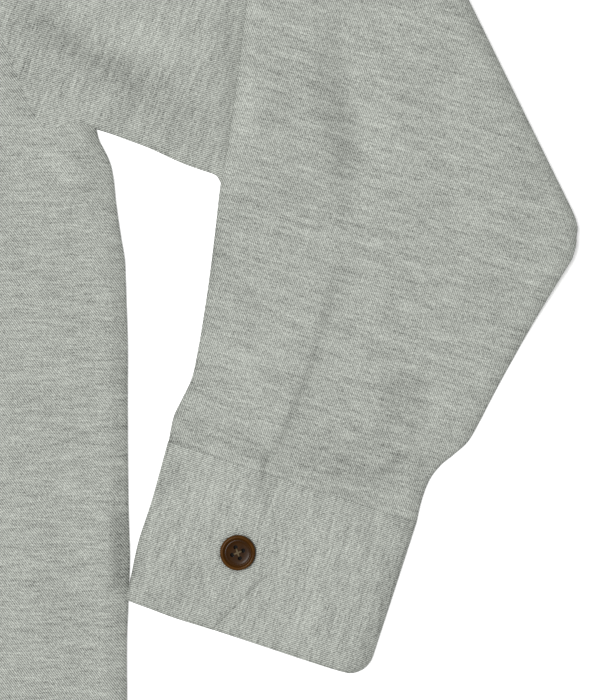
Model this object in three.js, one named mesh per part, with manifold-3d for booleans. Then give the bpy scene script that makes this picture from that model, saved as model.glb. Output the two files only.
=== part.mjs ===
// A shirt jacket laid flat, front up, with both sleeves folded forward at the elbow.
// Millimetres. +X runs to the wearer's left, +Y to the collar, +Z up from the surface it lies on.
// Plan positions are measured from the middle of the garment and from its underarm line.
import * as THREE from 'three';
import Module from 'manifold-3d';

const wasm = await Module();
wasm.setup();

// ---- Cloth ----
const CLOTH = 1.0;          // wall of the body, sleeve and collar pieces
const CUFF_CLOTH = 1.2;     // wall of a cuff, two layers and an interlining
const SEAM = 0.3;           // gap between two pieces where they are sewn
const LAYERS = 5.0;         // height of front and back laid on each other
const ROLL = 6.0;           // how far in from a folded edge a layer lies flat
const LAP = CLOTH + SEAM;   // one more layer of cloth

// ---- Body ----
const HALF_CHEST = 275;     // middle to underarm
const HEM = 407;            // underarm line down to the hem
const SHOULDER = { x: 237, y: 262 };
const NECK = { half: 80, top: 313, frontDrop: 85, backDrop: 22 };
const FRONT_LAP = 15;       // how far each front runs past the middle
const LAP_EASE = { from: 16, to: 32 };          // where the upper front comes down beside the lap
const ARMHOLE_LEAVES = { x: -62, y: 3 };        // bezier handles, from the underarm
const ARMHOLE_ENTERS = { x: -50, y: 110 };
const SIDE_EDGE = [         // the side edge, down from the underarm and out from it
  { down: 407, out: 14.4 },
  { down: 320, out: 14.4 },
  { down: 257, out: 14.4 },
  { down: 221, out: 14.7 },
  { down: 194, out: 15.7 },
  { down: 158, out: 15.1 },
  { down: 95, out: 14.8 },
  { down: 59, out: 13.4 },
  { down: 41, out: 10.6 },
  { down: 23, out: 8.5 },
  { down: 14.4, out: 6.6 },
  { down: 5.4, out: 1.8 },
];

// ---- Collar ----
const STAND_TOP = { half: 62, top: 345, frontDrop: 87, backDrop: 18 };
const ROLL_LINE = { half: 63.5, top: 346.5, frontDrop: 87, backDrop: 18 };
const FALL_SIDE = { x: 100, y: 311 };            // where the fall's edge turns round the side
const FALL_BACK_DROP = 30;
const COLLAR_POINT = { x: 48, y: 196 };
const FALL_ROLL = 5.0;
const NECK_LIFT = { from: 125, to: 185, inside: 115, outside: 175 };   // back raised by the fall

// ---- Sleeve, from the underarm ----
const UNDER_EDGE = { slope: -0.41, curve: 0.00087 };
const TOP_EDGE_HANDLE = { x: 52.6, y: 242.7 };
const ELBOW = { x: 219.6, y: -48.2 };           // where the fold meets the under edge
const FOLD_TOP = { x: 87.6, y: 221.9 };         // where the fold meets the top edge
const UNDERARM_CLEAR = { x: 0.9, y: 0.6 };      // from the body's corner to the sleeve's
const BOW_REACH = 0.25;                         // share of the width that keeps clear of the curve
const FOLD_GAP = 0.8;                           // air between the upper sleeve and the forearm
const DROP = { from: 14, over: 40 };            // the forearm comes down beside the upper sleeve
const UPPER_SLEEVE = [      // sections: how far along, and how much of the armhole's curve is left
  { along: 0, bow: 1 },
  { along: 0.03, bow: 0.7 },
  { along: 0.12, bow: 0.5 },
  { along: 0.25, bow: 0.2 },
  { along: 0.42, bow: 0 },
  { along: 0.62, bow: 0 },
  { along: 0.82, bow: 0 },
];
const FOREARM = [           // sections: the end on the under edge and the end on the lapping edge
  { underX: 214.8, underY: -58, lapX: 82.5, lapY: 172 },
  { underX: 205.5, underY: -74, lapX: 75.0, lapY: 112 },
  { underX: 195.7, underY: -90.5, lapX: 68.2, lapY: 58 },
  { underX: 188.6, underY: -103, lapX: 63.6, lapY: 20 },
  { underX: 177.2, underY: -123, lapX: 56.6, lapY: -30 },
  { underX: 172.0, underY: -133, lapX: 53.6, lapY: -52 },
  { underX: 167.4, underY: -141, lapX: 51.0, lapY: -72 },
  { underX: 159.6, underY: -147.8, lapX: 48.7, lapY: -90 },
  { underX: 153.0, underY: -154.5, lapX: 45.9, lapY: -103 },
  { underX: 148.6, underY: -162, lapX: 42.2, lapY: -115.5 },
  { underX: 146.0, underY: -170, lapX: 36.1, lapY: -129 },
];

// ---- Cuff ----
const CUFF_CORNER = { x: 13.7, y: -212.0 };     // lower corner on the lapping side, from the underarm
const CUFF_TURN = THREE.MathUtils.degToRad(-18);
const CUFF = { width: 113, depth: 73.5, flare: -0.05, round: 11 };
const CUFF_POINT = { shoulder: 41.2, tip: 60.7 };   // the lapping end, from the left fold
const CUFF_LEVEL = { under: 0.6, inner: 3.3, right: 4.6, outer: 4.8 };   // middle of each layer
const CUFF_RISE = { height: 4.4, from: 2, to: 42 };   // its corner climbs onto the body's side edge
const CUFF_PLACES = {       // stations of each layer across the cuff, from the left fold
  flap: [30, 15],
  beneath: [15, 30, 41, 66, 86],
  right: [94, 80],
  inner: [66, 41, 30, 15],
};
const CUFF_FOLD_ANGLES = [90, 45, 0, -45, -90];
const CUFF_TRIM = { flareEnds: 60, roundStarts: 60, roundFull: 105 };

// ---- Buttons ----
const BUTTON = { radius: 8, thick: 3.2, rim: 6.3, dish: 0.9, hole: 0.85, spacing: 3.7 };
const BUTTON_EDGE = { foot: 1, belly: 1.2, shoulder: 0.5, crown: 1.1, round: 0.3, slope: 1.2 };
const BUTTON_SIDES = 16;
const HOLE_SIDES = 6;
const CUFF_BUTTON = { u: 42, v: 36.3, turn: THREE.MathUtils.degToRad(-23.7) };
const COLLAR_BUTTON_Y = 243;
const FIRST_BUTTON_Y = 172;
const BUTTON_STEP = 88;
const FRONT_BUTTONS = 6;

// ---- Finishes ----
const cloth = () => new THREE.MeshStandardMaterial({ color: 0xabaea7, roughness: 0.9, metalness: 0 });
const horn = () => new THREE.MeshStandardMaterial({ color: 0x3a2410, roughness: 0.35, metalness: 0 });

// ---- Helpers ----
const vec = (x, y, z = 0) => new THREE.Vector3(x, y, z);
const lerp = THREE.MathUtils.lerp;
const smooth = (value, from, to) => THREE.MathUtils.smoothstep(value, from, to);

function mix(a, b, t) {
  return vec(lerp(a.x, b.x, t), lerp(a.y, b.y, t));
}

// A layer rolls over a folded edge as a quarter of an ellipse: its rise and its outward share.
function rollOver(distance, reach) {
  const outward = 1 - Math.min(distance / reach, 1);
  return { rise: Math.sqrt(1 - outward * outward), outward };
}

function rollNormal(roll, direction, up, reach, height) {
  return direction.clone().multiplyScalar(roll.outward / reach)
    .addScaledVector(up, roll.rise / height).normalize();
}

// The middle of a piece of cloth: points with their outward normals, and the cells between them.
class Sheet {
  constructor() {
    this.points = [];
    this.cells = [];
  }

  row(items) {
    return items.map((item) => this.points.push(item) - 1);
  }

  // Cells between neighbouring rows. A closed row joins its last point to its first.
  grid(rows, { closed = false, flip = false } = {}) {
    for (let i = 0; i + 1 < rows.length; i += 1) {
      const columns = closed ? rows[i].length : rows[i].length - 1;
      for (let j = 0; j < columns; j += 1) {
        const k = (j + 1) % rows[i].length;
        const cell = [rows[i][j], rows[i][k], rows[i + 1][k], rows[i + 1][j]];
        this.cells.push(flip ? cell.reverse() : cell);
      }
    }
    return this;
  }
}

// A wall of even thickness on a sheet, with a rim along every free edge.
function wall(sheet, thickness) {
  const count = sheet.points.length;
  const positions = [];
  for (const offset of [thickness / 2, -thickness / 2]) {
    for (const { at, out } of sheet.points) {
      positions.push(...at.clone().addScaledVector(out, offset).toArray());
    }
  }
  const faces = [];
  const quad = (a, b, c, d) => faces.push(a, b, c, a, c, d);
  const quadInside = (a, b, c, d) => faces.push(a, c, b, a, d, c);
  const edges = new Set();
  for (const cell of sheet.cells) {
    const [a, b, c, d] = cell;
    quad(a, b, c, d);
    quadInside(a + count, b + count, c + count, d + count);
    cell.forEach((from, k) => edges.add(`${from} ${cell[(k + 1) % 4]}`));
  }
  for (const edge of edges) {
    const [from, to] = edge.split(' ').map(Number);
    if (!edges.has(`${to} ${from}`)) {
      quad(to, from, from + count, to + count);
    }
  }
  const geometry = new THREE.BufferGeometry();
  geometry.setAttribute('position', new THREE.Float32BufferAttribute(positions, 3));
  geometry.setIndex(faces);
  return geometry;
}

// The same wall for the wearer's right: mirrored in X, with its faces turned back to point out.
function mirrored(geometry) {
  const copy = geometry.clone().scale(-1, 1, 1);
  const index = copy.getIndex();
  for (let i = 0; i < index.count; i += 3) {
    const first = index.getX(i);
    index.setX(i, index.getX(i + 2));
    index.setX(i + 2, first);
  }
  return copy;
}

// ---- The body's outline and layers ----
const underarm = vec(HALF_CHEST, 0);
const shoulderPoint = vec(SHOULDER.x, SHOULDER.y);
const neckPoint = vec(NECK.half, NECK.top);
const armhole = new THREE.CubicBezierCurve3(
  underarm,
  vec(HALF_CHEST + ARMHOLE_LEAVES.x, ARMHOLE_LEAVES.y),
  vec(HALF_CHEST + ARMHOLE_ENTERS.x, ARMHOLE_ENTERS.y),
  shoulderPoint,
);
const INNER_STATIONS = 6;

// Places along a line between two folded edges, as distances from its start.
function stations(length) {
  const roll = [0, ROLL * (1 - Math.SQRT1_2), ROLL];
  const places = [...roll];
  for (let i = 1; i <= INNER_STATIONS; i += 1) {
    places.push(lerp(ROLL, length - ROLL, i / (INNER_STATIONS + 1)));
  }
  return [...places, ...roll.reverse().map((distance) => length - distance)];
}

const armholeLength = armhole.getLength();
const armholeStations = stations(armholeLength);

// A place on the armhole, moved half a seam towards the body (side 1) or the sleeve (side -1).
function armholePoint(t, side) {
  const tangent = armhole.getTangentAt(t);
  return armhole.getPointAt(t).addScaledVector(vec(-tangent.y, tangent.x), side * SEAM / 2);
}

function sideOut(y) {
  const row = SIDE_EDGE.findIndex(({ down }) => down <= -y);
  const lower = SIDE_EDGE[Math.max(row - 1, 0)];
  const upper = row < 0 ? { down: 0, out: 0 } : SIDE_EDGE[row];
  const from = row < 0 ? SIDE_EDGE[SIDE_EDGE.length - 1] : lower;
  const span = from.down - upper.down || 1;
  return lerp(upper.out, from.out, (-y - upper.down) / span);
}

function toSideEdge(p) {
  if (p.y < 0) {
    return { distance: HALF_CHEST + sideOut(p.y) - p.x, direction: vec(1, 0) };
  }
  const away = underarm.clone().sub(p);
  return { distance: away.length(), direction: away.length() > 0 ? away.normalize() : vec(1, 0) };
}

function toShoulderEdge(p) {
  const along = shoulderPoint.clone().sub(neckPoint).normalize();
  const direction = vec(-along.y, along.x);
  return { distance: neckPoint.clone().sub(p).dot(direction), direction };
}

const neckLift = (p) => LAP * smooth(p.y, NECK_LIFT.from, NECK_LIFT.to)
  * (1 - smooth(Math.abs(p.x), NECK_LIFT.inside, NECK_LIFT.outside));

// side is 1 for the fronts and -1 for the back.
function bodyLayer(p, side) {
  const edges = [toSideEdge(p), toShoulderEdge(p)];
  edges.sort((a, b) => a.distance - b.distance);
  const roll = rollOver(Math.max(edges[0].distance, 0), ROLL);
  const lift = neckLift(p);
  const half = (LAYERS - CLOTH - lift) / 2;
  const z = (LAYERS + lift) / 2 + side * (SEAM / 2 + (half - SEAM / 2) * roll.rise);
  return {
    at: vec(p.x, p.y, z),
    out: rollNormal(roll, edges[0].direction, vec(0, 0, side), ROLL, half),
  };
}

function neckPlace(line, drop, angle) {
  const turn = THREE.MathUtils.degToRad(angle);
  return vec(line.half * Math.sin(turn), line.top - line[drop] * Math.cos(turn));
}

// Angles round half the neck where an edge parallel to the shoulder is this far below it.
const shoulderSlope = Math.atan2(NECK.top - SHOULDER.y, SHOULDER.x - NECK.half);
const neckAngleAt = (distance, drop) => THREE.MathUtils.radToDeg(
  Math.acos(distance / (Math.cos(shoulderSlope) * drop)));
const shoulderRoll = [ROLL, ROLL * (1 - Math.SQRT1_2), 0];
const lapAngle = -THREE.MathUtils.radToDeg(Math.asin(FRONT_LAP / NECK.half));
const FRONT_NECK_ANGLES = [lapAngle, 0, 11.7, 30, 50, 69,
  ...shoulderRoll.map((distance) => neckAngleAt(distance, NECK.frontDrop))];
const BACK_NECK_ANGLES = [0, 28, 48, 63,
  ...shoulderRoll.map((distance) => neckAngleAt(distance, NECK.backDrop))];
const FRONT_ROWS_BELOW_NECK = [0, 12, 70];
const BACK_ROWS_BELOW_NECK = [0, 12, 30, 110, 210];
const LAP_COLUMNS = [16, 24, 34];               // across, where the upper front comes down
const LEAST_COLUMN = 2;
const BODY_COLUMNS = 3;

// Half a body panel: rows run from the inner edge or the neckline to the side edge or the armhole.
function panelPlan(innerX, rowsBelowNeck, neckAngles, drop) {
  const rows = SIDE_EDGE.map(({ down, out }) => [vec(innerX, -down), vec(HALF_CHEST + out, -down)]);
  armholeStations.forEach((distance, i) => {
    const left = i < rowsBelowNeck.length
      ? vec(innerX, rowsBelowNeck[i])
      : neckPlace(NECK, drop, neckAngles[i - rowsBelowNeck.length]);
    rows.push([left, armholePoint(distance / armholeLength, 1)]);
  });
  return rows.map(([left, right]) => {
    const length = left.distanceTo(right);
    const perX = length / (right.x - left.x);
    const places = [0];
    LAP_COLUMNS.forEach((x, i) => places.push(Math.max(x - left.x, (i + 1) * LEAST_COLUMN) * perX));
    const lapEnd = places[LAP_COLUMNS.length];
    for (let i = 1; i <= BODY_COLUMNS; i += 1) {
      places.push(lerp(lapEnd, length - ROLL, i / (BODY_COLUMNS + 1)));
    }
    places.push(length - ROLL, length - ROLL * (1 - Math.SQRT1_2), length);
    return places.map((place) => mix(left, right, place / length));
  });
}

const lapRise = (x) => LAP * (1 - smooth(x, LAP_EASE.from, LAP_EASE.to));

function frontPanel(onTop) {
  const sheet = new Sheet();
  const plan = panelPlan(-FRONT_LAP, FRONT_ROWS_BELOW_NECK, FRONT_NECK_ANGLES, 'frontDrop');
  const rows = plan.map((row) => sheet.row(row.map((p) => {
    const point = bodyLayer(p, 1);
    point.at.z += onTop ? lapRise(p.x) : 0;
    return point;
  })));
  return wall(sheet.grid(rows), CLOTH);
}

// Both halves of the back share the points on its middle line, so it has no seam there.
function backPanel() {
  const sheet = new Sheet();
  const plan = panelPlan(0, BACK_ROWS_BELOW_NECK, BACK_NECK_ANGLES, 'backDrop');
  const left = plan.map((row) => sheet.row(row.map((p) => bodyLayer(p, -1))));
  const right = left.map((row) => row.map((index) => {
    const { at, out } = sheet.points[index];
    return at.x === 0 ? index : sheet.row([{ at: vec(-at.x, at.y, at.z), out: vec(-out.x, out.y, out.z) }])[0];
  }));
  sheet.grid(left, { flip: true });
  sheet.grid(right);
  return wall(sheet, CLOTH);
}

// ---- Collar ----
const FRONT_STAND_LEVEL = LAYERS - CLOTH / 2;
const BACK_STAND_LEVEL = LAP + CLOTH / 2;
const STAND_ROLL = 3.0;
const FOOT_CLEAR = 0.6;     // share of the cloth by which the stand's foot clears the shoulder fold
const SIDE_ANGLE = 90;      // round the neck, where its front and back meet on the shoulder line
const standMiddle = (FRONT_STAND_LEVEL + BACK_STAND_LEVEL) / 2;
const standHalf = (FRONT_STAND_LEVEL - BACK_STAND_LEVEL) / 2;

// One end of the stand to the middle of the back: bottom and top edges at each place round the neck.
function standPlaces() {
  const front = FRONT_NECK_ANGLES.map((angle) => ({ angle, side: 1, drop: 'frontDrop' }));
  const back = BACK_NECK_ANGLES.map((angle) => ({ angle, side: -1, drop: 'backDrop' })).reverse();
  return [...front, ...back.slice(1)];
}

function standTopLevel(p, side) {
  const roll = rollOver(Math.max(STAND_TOP.half - Math.abs(p.x), 0), STAND_ROLL);
  return { z: standMiddle + side * standHalf * roll.rise, roll };
}

function collarStand() {
  const sheet = new Sheet();
  const half = (onTop) => {
    const bottom = [];
    const top = [];
    for (const { angle, side, drop } of standPlaces()) {
      const low = neckPlace(NECK, drop, angle);
      const high = neckPlace(STAND_TOP, drop, angle);
      const rise = onTop && side > 0 ? lapRise(low.x) : 0;
      const atSide = angle > SIDE_ANGLE - 0.1;
      const foot = bodyLayer(low, side);
      const middle = (LAYERS + neckLift(low)) / 2;
      const besideFold = rollOver(Math.max(toShoulderEdge(low).distance, 0), ROLL).outward;
      foot.at.addScaledVector(high.clone().sub(low).normalize(), SEAM + CLOTH * FOOT_CLEAR * besideFold);
      foot.at.x -= SEAM * Math.sin(THREE.MathUtils.degToRad(angle));
      foot.at.z = atSide ? middle : foot.at.z + rise;
      foot.out = atSide ? vec(1, 0, 0) : foot.out;
      const { z, roll } = standTopLevel(high, side);
      bottom.push(foot);
      top.push({
        at: vec(high.x, high.y, z + rise),
        out: rollNormal(roll, vec(1, 0, 0), vec(0, 0, side), STAND_ROLL, standHalf),
      });
    }
    return [bottom, top];
  };
  const [leftBottom, leftTop] = half(true);
  const [rightBottom, rightTop] = half(false);
  const flipX = ({ at, out }) => ({ at: vec(-at.x, at.y, at.z), out: vec(-out.x, out.y, out.z) });
  const join = (left, right) => sheet.row([...left, ...right.slice(0, -1).reverse().map(flipX)]);
  sheet.grid([join(leftBottom, rightBottom), join(leftTop, rightTop)]);
  return wall(sheet, CLOTH);
}

const FALL_PLACES = [       // round the neck in degrees, and along the fall's outer edge to the side
  { angle: 4.6, along: 0 },
  { angle: 11.7, along: 0.09 },
  { angle: 30, along: 0.32 },
  { angle: 50, along: 0.66 },
  { angle: 69, along: 0.962 },
  { angle: 78, along: 0.989 },
  { angle: 90, along: 1 },
];
const FALL_BACK_ANGLES = [76, 66, 45, 22, 0];
const FALL_EASE = { from: 26, to: 52 };
const FALL_ROWS = [0.35, 0.7, 1];
const HOOK = { start: 1.2, top: 1.3, atSide: 0.9, sharpness: 8 };   // the turn beyond the stand
const fallMiddle = (FRONT_STAND_LEVEL + LAP + CLOTH / 2) / 2;
const fallHalf = fallMiddle - CLOTH / 2;
const fallRise = (x) => LAP * (1 - smooth(x, FALL_EASE.from, FALL_EASE.to));

// The fall hooks over the stand's top edge and comes down outside it.
function collarFall() {
  const sheet = new Sheet();
  const sideTop = vec(ROLL_LINE.half, ROLL_LINE.top);
  const sideEdge = vec(FALL_SIDE.x, FALL_SIDE.y);
  const foldAlong = sideEdge.clone().sub(sideTop).normalize();
  const foldOut = vec(-foldAlong.y, foldAlong.x);
  const layer = (p, side) => {
    const roll = rollOver(Math.max(sideTop.clone().sub(p).dot(foldOut), 0), FALL_ROLL);
    const rise = side > 0 ? fallRise(p.x) : 0;
    return {
      at: vec(p.x, p.y, fallMiddle + side * fallHalf * roll.rise + rise),
      out: rollNormal(roll, foldOut, vec(0, 0, side), FALL_ROLL, fallHalf),
    };
  };
  const half = (onTop) => {
    const front = FALL_PLACES.map(({ angle, along }) => ({
      angle, side: 1, drop: 'frontDrop', edge: mix(vec(COLLAR_POINT.x, COLLAR_POINT.y), sideEdge, along),
    }));
    const back = FALL_BACK_ANGLES.map((angle) => ({
      angle,
      side: -1,
      drop: 'backDrop',
      edge: neckPlace({ half: FALL_SIDE.x, top: FALL_SIDE.y, backDrop: FALL_BACK_DROP }, 'backDrop', angle),
    }));
    return [...front, ...back].map(({ angle, side, drop, edge }) => {
      const top = neckPlace(ROLL_LINE, drop, angle);
      const stand = neckPlace(STAND_TOP, drop, angle);
      const beyond = stand.clone().sub(neckPlace(NECK, drop, angle)).normalize();
      const standLevel = standTopLevel(stand, side).z + (onTop && side > 0 ? lapRise(stand.x) : 0);
      const outer = layer(top, side);
      const atSide = Math.sin(THREE.MathUtils.degToRad(angle)) ** HOOK.sharpness;
      const hookStart = stand.clone().addScaledVector(beyond, HOOK.start + HOOK.atSide * atSide);
      const hookTop = top.clone().addScaledVector(beyond, HOOK.top + HOOK.atSide * atSide);
      return [
        { at: vec(hookStart.x, hookStart.y, standLevel), out: outer.out.clone().negate() },
        { at: vec(hookTop.x, hookTop.y, (standLevel + outer.at.z) / 2), out: beyond },
        outer,
        ...FALL_ROWS.map((t) => layer(mix(top, edge, t), side)),
      ];
    });
  };
  const left = half(true);
  const right = half(false).slice(0, -1).reverse().map((column) => column.map(({ at, out }) => (
    { at: vec(-at.x, at.y, at.z), out: vec(-out.x, out.y, out.z) })));
  const columns = [...left, ...right].map((column) => sheet.row(column));
  return wall(sheet.grid(columns), CLOTH);
}

// ---- Sleeve: a flat tube folded over a line ----
const elbow = vec(ELBOW.x, ELBOW.y);
const foldTop = vec(FOLD_TOP.x, FOLD_TOP.y);
const foldOut = vec(elbow.y - foldTop.y, foldTop.x - elbow.x).normalize().negate();
const foldRadius = (LAYERS + FOLD_GAP) / 2;     // of the tube's middle, round the fold
const foldLevel = LAYERS + FOLD_GAP / 2;
const layerHalf = (LAYERS - CLOTH) / 2;
const FOLD_STEPS = 5;
const LENGTH_STEPS = 50;

// Where a line through a point on the fold's outside crosses the line that the cloth turns about.
function onFoldAxis(point, direction) {
  const reach = LAYERS + FOLD_GAP / 2 - CLOTH / 2;
  return point.clone().addScaledVector(direction, -reach / direction.dot(foldOut));
}

const underY = (x) => x * (UNDER_EDGE.slope + UNDER_EDGE.curve * x);

function forearmDrop(p) {
  const beyond = underY(p.x) - p.y;
  return (LAYERS + FOLD_GAP) * smooth(beyond, DROP.from, DROP.from + DROP.over);
}

const cuffRise = (p) => CUFF_RISE.height
  * (1 - smooth(p.distanceTo(vec(CUFF_CORNER.x, CUFF_CORNER.y)), CUFF_RISE.from, CUFF_RISE.to));

function sleeveSections() {
  const chord = (from, to) => (t) => mix(from, to, t);
  const shoulder = shoulderPoint.clone().sub(underarm);
  const first = chord(vec(0, 0), shoulder);
  const cap = (t) => {
    const corner = rollOver(t * armholeLength, ROLL).outward;
    return armholePoint(t, -1).sub(underarm)
      .addScaledVector(vec(UNDERARM_CLEAR.x, UNDERARM_CLEAR.y), corner);
  };
  const underEnd = onFoldAxis(elbow, vec(1, 2 * UNDER_EDGE.curve * elbow.x + UNDER_EDGE.slope).normalize());
  const handle = vec(TOP_EDGE_HANDLE.x, TOP_EDGE_HANDLE.y);
  const topEnd = onFoldAxis(foldTop, foldTop.clone().sub(handle).normalize());
  const topEdge = new THREE.QuadraticBezierCurve3(shoulder, handle, topEnd);
  const sections = UPPER_SLEEVE.map(({ along, bow }) => {
    const x = along * underEnd.x;
    const straight = chord(vec(x, underY(x)), topEdge.getPoint(along));
    const share = (t) => (along === 0 ? 1 : bow * smooth(t, 0, BOW_REACH));
    const plan = (t) => straight(t).addScaledVector(cap(t).sub(first(t)), share(t));
    return { plan, turn: 0 };
  });
  const forearmUnder = vec(FOREARM[0].underX, FOREARM[0].underY);
  const forearmLap = vec(FOREARM[0].lapX, FOREARM[0].lapY);
  const underBack = onFoldAxis(elbow, forearmUnder.clone().sub(elbow).normalize());
  const lapBack = onFoldAxis(foldTop, forearmLap.clone().sub(foldTop).normalize());
  for (let i = 0; i <= FOLD_STEPS; i += 1) {
    const t = i / FOLD_STEPS;
    sections.push({ plan: chord(mix(underEnd, underBack, t), mix(topEnd, lapBack, t)), turn: t * Math.PI });
  }
  for (const { underX, underY: y, lapX, lapY } of FOREARM) {
    sections.push({ plan: chord(vec(underX, y), vec(lapX, lapY)), turn: Math.PI });
  }
  const cuffSeam = chord(cuffPlan(CUFF.width, CUFF.depth), cuffPlan(CUFF.flare * CUFF.depth, CUFF.depth));
  sections.push({ plan: cuffSeam, turn: Math.PI });
  return sections;
}

function sleeve() {
  const sheet = new Sheet();
  const rings = sleeveSections().map(({ plan, turn }) => {
    let length = 0;
    for (let i = 0; i < LENGTH_STEPS; i += 1) {
      length += plan(i / LENGTH_STEPS).distanceTo(plan((i + 1) / LENGTH_STEPS));
    }
    const cos = Math.cos(turn);
    const sin = Math.sin(turn);
    const up = foldOut.clone().multiplyScalar(-sin).add(vec(0, 0, cos));
    const place = (distance, side) => {
      const p = plan(distance / length);
      const fromEnd = Math.min(distance, length - distance);
      const end = distance < length / 2 ? [0, ROLL] : [length, length - ROLL];
      const direction = plan(end[0] / length).sub(plan(end[1] / length)).normalize();
      const roll = rollOver(fromEnd, ROLL);
      const level = side * layerHalf * roll.rise;
      const at = p.clone().addScaledVector(foldOut, (foldRadius - level) * sin);
      at.z = foldLevel - (foldRadius - level) * cos;
      if (turn === Math.PI) {
        at.z -= forearmDrop(p);
      }
      at.x += HALF_CHEST;
      const tilt = up.clone().multiplyScalar(side);
      return { at, out: rollNormal(roll, direction, tilt, ROLL, layerHalf) };
    };
    const along = stations(length);
    const front = along.map((distance) => place(distance, 1));
    const back = along.slice(1, -1).reverse().map((distance) => place(distance, -1));
    return sheet.row([...front, ...back]);
  });
  return wall(sheet.grid(rings, { closed: true, flip: true }), CLOTH);
}

// ---- Cuff: one band, from its point over the left fold, beneath, over the right fold and under it ----
const cuffAlong = vec(Math.cos(CUFF_TURN), Math.sin(CUFF_TURN));
const cuffUp = vec(-Math.sin(CUFF_TURN), Math.cos(CUFF_TURN));
const CUFF_ROWS = [0, 3.5, 11, 24, CUFF.depth / 2, 55, CUFF.depth - SEAM];

function cuffPlan(u, v) {
  return vec(CUFF_CORNER.x, CUFF_CORNER.y).addScaledVector(cuffAlong, u).addScaledVector(cuffUp, v);
}

// Stations round the band: place across the cuff, level, and outward normal (across, up).
function cuffStations(v) {
  const fromMiddle = Math.abs(v - CUFF.depth / 2) / (CUFF.depth / 2);
  const tip = lerp(CUFF_POINT.tip, CUFF_POINT.shoulder, fromMiddle);
  const list = [{ u: tip, z: CUFF_LEVEL.outer, across: 0, up: 1 }];
  const flat = (places, z, up) => places.forEach((u) => list.push({ u, z, across: 0, up }));
  const fold = (edge, side, low, high, angles) => {
    const half = (high - low) / 2;
    for (const degrees of angles) {
      const angle = THREE.MathUtils.degToRad(degrees);
      const normal = vec(Math.cos(angle) / ROLL, Math.sin(angle) / half).normalize();
      list.push({
        u: edge - side * ROLL * (1 - Math.cos(angle)),
        z: (low + high) / 2 + half * Math.sin(angle),
        across: side * normal.x,
        up: normal.y,
      });
    }
  };
  flat(CUFF_PLACES.flap, CUFF_LEVEL.outer, 1);
  fold(0, -1, CUFF_LEVEL.under, CUFF_LEVEL.outer, CUFF_FOLD_ANGLES);
  flat(CUFF_PLACES.beneath, CUFF_LEVEL.under, -1);
  fold(CUFF.width, 1, CUFF_LEVEL.under, CUFF_LEVEL.right, CUFF_FOLD_ANGLES.toReversed());
  flat(CUFF_PLACES.right, CUFF_LEVEL.right, 1);
  flat(CUFF_PLACES.inner, CUFF_LEVEL.inner, 1);
  return list;
}

function cuff() {
  const sheet = new Sheet();
  const rows = CUFF_ROWS.map((v) => {
    const short = Math.max(CUFF.round - v, 0);
    const inset = CUFF.round - Math.sqrt(CUFF.round ** 2 - short ** 2);
    return sheet.row(cuffStations(v).map(({ u, z, across, up }) => {
      const atRight = smooth(u, CUFF_TRIM.roundStarts, CUFF_TRIM.roundFull);
      const atLeft = 1 - smooth(u, 0, CUFF_TRIM.flareEnds);
      const p = cuffPlan(u - inset * atRight + CUFF.flare * v * atLeft, v);
      const at = vec(HALF_CHEST + p.x, p.y, z + cuffRise(p));
      return { at, out: cuffAlong.clone().multiplyScalar(across).add(vec(0, 0, up)).normalize() };
    }));
  });
  return wall(sheet.grid(rows, { flip: true }), CUFF_CLOTH);
}

// ---- Buttons ----
function solid(geometry) {
  const positions = geometry.getAttribute('position');
  const keys = new Map();
  const vertices = [];
  const rename = [];
  for (let i = 0; i < positions.count; i += 1) {
    const xyz = [positions.getX(i), positions.getY(i), positions.getZ(i)];
    const key = xyz.map((value) => Math.round(value * 1e4)).join(' ');
    if (!keys.has(key)) {
      keys.set(key, keys.size);
      vertices.push(...xyz);
    }
    rename.push(keys.get(key));
  }
  const triangles = [];
  const index = geometry.getIndex();
  for (let i = 0; i < index.count; i += 3) {
    const [a, b, c] = [0, 1, 2].map((k) => rename[index.getX(i + k)]);
    if (a !== b && b !== c && c !== a) {
      triangles.push(a, b, c);
    }
  }
  return new wasm.Manifold(new wasm.Mesh({
    numProp: 3,
    vertProperties: new Float32Array(vertices),
    triVerts: new Uint32Array(triangles),
  }));
}

// A turned disc with a raised rim and a dished middle, pierced by four holes.
function buttonGeometry() {
  const { radius, thick, rim, dish, hole, spacing } = BUTTON;
  const { foot, belly, shoulder, crown, round, slope } = BUTTON_EDGE;
  const profile = [
    [0, 0],
    [radius - foot, 0],
    [radius, belly],
    [radius - shoulder, thick - round],
    [radius - crown, thick],
    [rim, thick - round],
    [rim - slope, thick - dish],
    [0, thick - dish],
  ].map(([x, y]) => new THREE.Vector2(x, y));
  let disc = solid(new THREE.LatheGeometry(profile, BUTTON_SIDES).rotateX(Math.PI / 2));
  for (const [sx, sy] of [[1, 1], [1, -1], [-1, 1], [-1, -1]]) {
    const drill = new THREE.CylinderGeometry(hole, hole, thick * 3, HOLE_SIDES).rotateX(Math.PI / 2);
    drill.translate(sx * spacing / 2, sy * spacing / 2, 0);
    disc = disc.subtract(solid(drill));
  }
  const mesh = disc.getMesh();
  const geometry = new THREE.BufferGeometry();
  geometry.setAttribute('position', new THREE.Float32BufferAttribute(mesh.vertProperties, 3));
  geometry.setIndex([...mesh.triVerts]);
  return geometry;
}

// ---- Assembly ----
const jacket = new THREE.Group();

function add(name, geometry, material) {
  const mesh = new THREE.Mesh(geometry, material);
  mesh.name = name;
  jacket.add(mesh);
  return mesh;
}

add('back_panel', backPanel(), cloth());
add('front_left', frontPanel(true), cloth());
add('front_right', mirrored(frontPanel(false)), cloth());
add('collar_stand', collarStand(), cloth());
add('collar_fall', collarFall(), cloth());
const sleeveWall = sleeve();
add('sleeve_left', sleeveWall, cloth());
add('sleeve_right', mirrored(sleeveWall), cloth());
const cuffWall = cuff();
add('cuff_left', cuffWall, cloth());
add('cuff_right', mirrored(cuffWall), cloth());

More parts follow.
